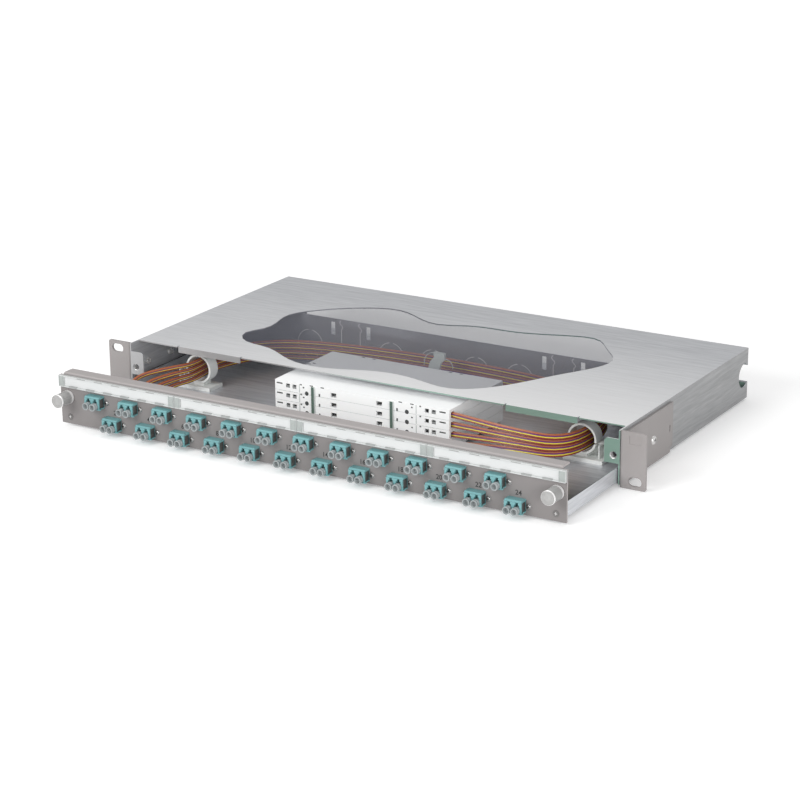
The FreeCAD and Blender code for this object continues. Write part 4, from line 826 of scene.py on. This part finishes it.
# places across the front, drops below the top of the stack or of each cassette, sizes (width, height)
cassetteStyle = {
    "levels": 4, "front": -7.0, "top": 38.0, "pitch": 8.0, "proud": 0.05, "deep": 0.3, "soft": 0.03,
    "corner": 0.25,
    "slits": (-69.8, 76.6), "slitDrop": 2.5, "slitSize": (5.4, 1.1),
    "lipSlots": (-40.3, -30.3, 39.7, 49.9), "lipDrop": 0.45, "lipSize": (3.2, 0.8),
    "blobs": (-33.1, 36.8), "blobDrop": 6.9, "blobSize": (1.4, 2.4),
    "holes": (-44.8, 45.4), "holeDrops": (7.3, 15.3, 23.3), "holeRadius": 1.75, "holeSides": 20,
    "grooves": (-51.4, 53.6), "grooveDrop": 4.0, "grooveSize": (0.7, 7.0),
    "joint": 4.2, "jointDrop": 0.05, "jointSize": (150.0, 0.22),
    "marks": ((-49.9, 0.9), (-47.6, 2.9), (49.9, 3.0), (57.2, 1.0)), "markSize": (1.5, 1.1),
    "grilles": (-62.1, -56.1, 68.9), "grilleDrop": 4.9, "grilleSize": (3.5, 3.1), "grilleDepth": (0.35, 0.6),
    "lidSlots": ((-43.3, 74.2), (-33.4, 74.2), (36.9, 74.2), (46.4, 74.2), (-72.0, 38.9), (-69.4, 42.0)),
    "lidSlotSize": (3.0, 1.5), "lidCorner": 0.4,
}


def frontPatch(x, z, size):
    # thin block on the stack's front face: shows as a slot or recess, the dark ones as painted shade
    s = cassetteStyle
    width, height = size
    return softBlock((x - width / 2, s["front"] - s["proud"], z - height / 2),
                     (x + width / 2, s["front"] + s["deep"], z + height / 2), s["soft"], s["corner"])


def cassetteDetails():
    # slots, round holes across the joints, grooves, grilles and small marks on the front, slots in the lid;
    # slots, holes and marks are dark patches, those of slots and holes painted shade
    s = cassetteStyle
    dark, soft, grilles = [], [], []
    for level in range(s["levels"]):
        top = s["top"] - level * s["pitch"]
        dark += [frontPatch(x, top - s["slitDrop"], s["slitSize"]) for x in s["slits"]]
        dark += [frontPatch(x, top - s["blobDrop"], s["blobSize"]) for x in s["blobs"]]
        dark += [frontPatch(x, top - drop, s["markSize"]) for x, drop in s["marks"]]
        soft += [frontPatch(x, top - s["grooveDrop"], s["grooveSize"]) for x in s["grooves"]]
        if level:
            soft.append(frontPatch(s["joint"], top - s["jointDrop"], s["jointSize"]))
        wide, high = s["grilleSize"][0] / 2, s["grilleSize"][1] / 2
        near, far = (s["front"] + depth for depth in s["grilleDepth"])
        middle = top - s["grilleDrop"]
        grilles += [softBlock((x - wide, near, middle - high), (x + wide, far, middle + high), 0.05, 0.2)
                    for x in s["grilles"]]
    dark += [frontPatch(x, s["top"] - s["lipDrop"], s["lipSize"]) for x in s["lipSlots"]]
    r = s["holeRadius"]
    disc = [(0.01, -s["proud"]), (r - 0.1, -s["proud"]), (r, 0.0), (r, s["deep"]), (0.01, s["deep"])]
    dark += [turned(disc, (x, s["front"], s["top"] - drop), s["holeSides"])
             for x in s["holes"] for drop in s["holeDrops"]]
    width, depth = s["lidSlotSize"]
    dark += [softBlock((x - width / 2, y - depth / 2, s["top"] - s["deep"]),
                       (x + width / 2, y + depth / 2, s["top"] + s["proud"]), s["soft"], s["lidCorner"], axis=2)
             for x, y in s["lidSlots"]]
    makePiece("cassetteSlots", dark, "cassetteDark")
    makePiece("cassetteGrooves", soft, "holderGrey")
    makePiece("cassetteGrilles", grilles, "grilleGrey")


cassetteDetails()
print("cassette details made")

wallStyle = {"face": 144.6, "proud": 0.06, "deep": 0.1, "line": 0.55, "height": 16.5, "radius": 12.25,
             "knockouts": (-140.3, -60.3, -20.2, 20.2, 60.3, 140.3), "arcs": (0.15, 1.72, 3.29, 4.86),
             "arc": 1.27, "panels": (-99.8, 99.8), "panelHalf": 9.2, "low": 12.0, "high": 41.0, "neck": 1.5,
             "neckFrom": 33.0}


def wallCuts():
    # flat strips carried along the knock-outs' arcs and the break-out panels' sides, which run straight up and
    # end in a neck: aside = neck * sin(2 pi (z - from) / (high - from))
    s = wallStyle
    half = s["line"] / 2
    strip = [(-half, -s["proud"]), (half, -s["proud"]), (half, s["deep"]), (-half, s["deep"])]
    paths = []
    for x in s["knockouts"]:
        for start in s["arcs"]:
            a = np.linspace(start, start + s["arc"], 14)
            paths.append((x + s["radius"] * np.cos(a), s["height"] + s["radius"] * np.sin(a)))
    for x in s["panels"]:
        for side in (-1, 1):
            z = np.concatenate([[s["low"]], np.linspace(s["neckFrom"], s["high"], 20)])
            turn = np.clip((z - s["neckFrom"]) / (s["high"] - s["neckFrom"]), 0, 1)
            paths.append((x + side * s["panelHalf"] + s["neck"] * np.sin(2 * np.pi * turn), z))
    parts = [carried(np.stack([x, np.full(len(x), s["face"]), z], axis=1), strip, up=(0, 1, 0)) for x, z in paths]
    makePiece("wallCutLines", parts, "cutLine", smooth=False)


wallCuts()
print("wall cuts made")

# arches: x of the head and the foot, height of the head and the foot
latchStyle = {"y": 108.8, "wire": 0.35, "sides": 8, "steps": 16, "bow": 0.8,
              "arches": ((2.2, -7.5, 39.6, 28.0), (12.0, 19.0, 35.6, 28.5))}


def latchArches():
    # a thin sprung arch on each side of the latch: x goes to the foot by sin t, z falls by cos(t) ^ bow
    s = latchStyle
    t = np.linspace(0, np.pi / 2, s["steps"])
    parts = []
    for head, foot, top, low in s["arches"]:
        path = np.stack([head + (foot - head) * np.sin(t), np.full(len(t), s["y"]),
                         low + (top - low) * np.cos(t) ** s["bow"]], axis=1)
        parts.append(carried(path, circleSection(s["wire"], s["sides"]), up=(0, 1, 0)))
    makePiece("latchArches", parts, "holderGrey")


latchArches()
print("latch made")

# four bundles of twelve fibres: rows by colour, three columns; "lane": the shared lanes behind the plugs
pigtail = {
    "radius": 0.47, "sides": 6, "steps": 6, "across": 0.95, "up": 1.02, "upLeft": 0.68, "swing": (-14, -6, -1, 1),
    "lane": 0.85, "laneStart": -36.6, "laneBase": 5.0, "laneRise": 1.0,
    "exit": 33.5, "exitPitch": 8.0, "stack": 26.9, "stackPitch": 4.4, "sag": 0.84, "sagLift": 2.9,
    "right": 82.45, "ring": 174.5, "mouth": 30.0, "bootEnd": 26.0, "bendIn": -37.5,
    "leftPorts": -130, "midPorts": -90,
    "looks": ("fibreOrange", "fibreViolet", "fibreYellow", "fibreMaroon"),
    "slots": ("bundle_orange", "bundle_violet", "bundle_yellow", "bundle_maroon"),
}


def bundleLine(level):
    # control points of a bundle's middle: cassette, right ring, round the rear, left ring, down behind the plugs
    s = pigtail
    leave = s["exit"] - level * s["exitPitch"]
    stack = s["stack"] - level * s["stackPitch"]
    sag = leave - (leave - stack) * s["sag"] + s["sagLift"]
    right, ring, mouth, swing = s["right"], s["ring"], s["mouth"], s["swing"][level]
    points = [(right - 4.6, mouth - 32, leave), (right + 22, mouth - 33.7, (leave + sag) / 2),
              (right + 49, mouth - 35.5, sag), (ring, mouth - 28, stack + 0.4)]
    points += [(x, mouth + y, stack) for x, y in (
        (ring + 3.5, 28), (ring - 14.5, 74), (104, 95), (0, 103), (-104, 95), (14.5 - ring, 74),
        (-3.5 - ring, 28), (1.5 - ring, -9))]
    tail = [(-4 - ring + swing * 0.3, mouth - 26, stack), (-8 - ring + swing, mouth - 50, stack - 1.5),
            (-6 - ring + swing, mouth - 66.5, stack - 6), (14 - ring, mouth - 66.5, stack - 6)]
    return np.array(points), np.array(tail)


def strandLine(level, k):
    # one fibre: its bundle's line moved by its place in the bundle, then on to its own plug
    s = pigtail
    points, tail = bundleLine(level)
    row, column = k % 4, k // 4
    x, z = places[level * 6 + k // 2]
    port = x + (-1, 1)[k % 2] * adaptorSizes["portSpacing"] / 2
    plug = np.array([port, plateFace + adaptorSizes["rear"] + s["bootEnd"], z - adaptorSizes["portDrop"]])
    atLeft = port < s["leftPorts"]
    base = np.concatenate([points, tail[:3] if atLeft else tail])
    ahead = np.gradient(base, axis=0)
    ahead[:, 2] = 0
    ahead /= np.linalg.norm(ahead, axis=1, keepdims=True)
    side = np.stack([ahead[:, 1], -ahead[:, 0], np.zeros(len(base))], axis=1)
    line = base + side * (column - 1) * s["across"]
    line[:, 2] += (1.5 - row) * np.interp(base[:, 0], (-120, 60), (s["upLeft"], s["up"]))
    if atLeft:
        end = [((port + 3 * line[-1][0]) / 4, -31, 15), (port, -36, plug[2])]
    else:
        rank = level * 12 + k
        laneY = s["laneStart"] + (rank // 4) * s["lane"]
        laneZ = s["laneBase"] + ((rank + rank // 4) % 4) * s["laneRise"]
        end = [(-146.0, laneY, laneZ + 2), (-128.0, laneY, laneZ)]
        if port > s["midPorts"]:
            end.append(((port - 128) / 2, laneY, laneZ))
        end += [(port - 9, laneY, laneZ), (port, laneY - 1, (laneZ + plug[2]) / 2), (port, s["bendIn"], plug[2])]
    return smoothLine(np.concatenate([line, np.array(end), plug[None]]), s["steps"])


def pigtailSet(level):
    # twelve fibres in one piece, their colours going round the four rows
    section = circleSection(pigtail["radius"], pigtail["sides"])
    parts = [carried(strandLine(level, k), section) for k in range(12)]
    looks = np.concatenate([np.full(len(part[1]), k % 4) for k, part in enumerate(parts)])
    piece = makePiece(f"pigtails{level + 1}", parts, pigtail["looks"], merge=False)
    piece.data.polygons.foreach_set("material_index", looks.astype(np.int32))
    piece.data.update()
    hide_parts(f"pigtail_bundle_{level + 1}")


for level in range(4):
    pigtailSet(level)
print("pigtails made")

# metres; glow: how bright the floor shows near the panel and far from it; lamps: place, target, size, power
studio = {
    "floor": -0.0002, "reach": 6.0, "floorColour": (0.90, 0.90, 0.90), "world": 0.56, "floorGlow": 0.22,
    "glowFrom": 0.45, "glowTo": 1.2,
    "lamps": {
        "overheadLamp": ((-0.2, 0.2, 1.5), (0, 0.05, 0), (1.6, 1.2), 4.5),
        "keyLamp": ((-0.55, -1.55, 0.95), (0, 0, 0), (1.1, 0.7), 20),
        "sideLamp": ((1.55, -1.25, 0.40), (0.05, 0, 0.02), (1.3, 0.6), 18),
    },
}
# the camera's place in metres, its turns in radians, lens and sensor in millimetres
photoView = {"place": (0.931852, -1.479566, 0.610781), "yaw": 0.544934, "pitch": 0.320569, "roll": -0.010207,
             "lens": 2403.62 / 800 * 36.0, "sensor": 36.0, "shiftX": 0.000367, "shiftY": 0.00018}


def whiteFloor():
    # white ground that shines of itself to the camera, the more the farther it is from the panel
    mesh = bpy.data.meshes.new("studioFloor")
    corners = np.array([(-1, -1), (1, -1), (1, 1), (-1, 1)]) * studio["reach"]
    mesh.from_pydata([(x, y, studio["floor"]) for x, y in corners], [], [(0, 1, 2, 3)])
    floor = addObject("studioFloor", mesh)
    material, tree, shader = newMaterial("floorWhite", 0.9)
    skin = place(tree, fineSkin)
    feed(tree, blend(tree, skin.outputs["Mottle"], studio["floorColour"],
                         tuple(c + 0.01 for c in studio["floorColour"])), shader.inputs["Base Color"])
    path = tree.nodes.new("ShaderNodeLightPath")
    shader.inputs["Emission Color"].default_value = (1, 1, 1, 1)
    where = tree.nodes.new("ShaderNodeTexCoord")
    far = tree.nodes.new("ShaderNodeVectorMath")
    far.operation = "LENGTH"
    feed(tree, where.outputs["Object"], far.inputs[0])
    glow = rangeNode(tree, far.outputs["Value"], studio["glowFrom"], studio["glowTo"], studio["floorGlow"], 1.0)
    straight = mathNode(tree, "LESS_THAN", path.outputs["Transparent Depth"], 0.5)
    seen = mathNode(tree, "MULTIPLY", mathNode(tree, "MULTIPLY", path.outputs["Is Camera Ray"], straight), glow)
    feed(tree, seen, shader.inputs["Emission Strength"])
    mesh.materials.append(material)


def paleWorld():
    # even soft light; seen directly or through glass it is plain white
    world = bpy.data.worlds.new("paleWorld")
    bpy.context.scene.world = world
    world.use_nodes = True
    tree = world.node_tree
    back = tree.nodes["Background"]
    back.inputs["Color"].default_value = (1, 1, 1, 1)
    path = tree.nodes.new("ShaderNodeLightPath")
    seen = mathNode(tree, "MAXIMUM", path.outputs["Is Camera Ray"], path.outputs["Is Transmission Ray"])
    feed(tree, rangeNode(tree, seen, 0.0, 1.0, studio["world"], 1.0), back.inputs["Strength"])


def softLamp(name, place, target, size, power):
    lamp = bpy.data.lights.new(name, "AREA")
    lamp.shape = "RECTANGLE"
    lamp.size, lamp.size_y = size
    lamp.energy = power
    holder = addObject(name, lamp)
    holder.location = place
    holder.rotation_euler = (Vector(target) - Vector(place)).to_track_quat("-Z", "Y").to_euler()


def photoCamera():
    # stands where the photograph was taken from, fitted to the panel's corners
    s = photoView
    data = bpy.data.cameras.new("photoCamera")
    data.sensor_fit = "HORIZONTAL"
    data.sensor_width = s["sensor"]
    data.lens = s["lens"]
    data.shift_x, data.shift_y = s["shiftX"], s["shiftY"]
    data.clip_end = 30
    camera = addObject("photoCamera", data)
    camera.matrix_world = Matrix.Translation(s["place"])
    for turn, axis in ((s["yaw"], "Z"), (math.pi / 2 - s["pitch"], "X"), (s["roll"], "Z")):
        camera.matrix_world = camera.matrix_world @ Matrix.Rotation(turn, 4, axis)
    bpy.context.scene.camera = camera


whiteFloor()
paleWorld()
for name, values in studio["lamps"].items():
    softLamp(name, *values)
photoCamera()
bpy.context.scene.view_settings.view_transform = "Standard"
print("studio ready")
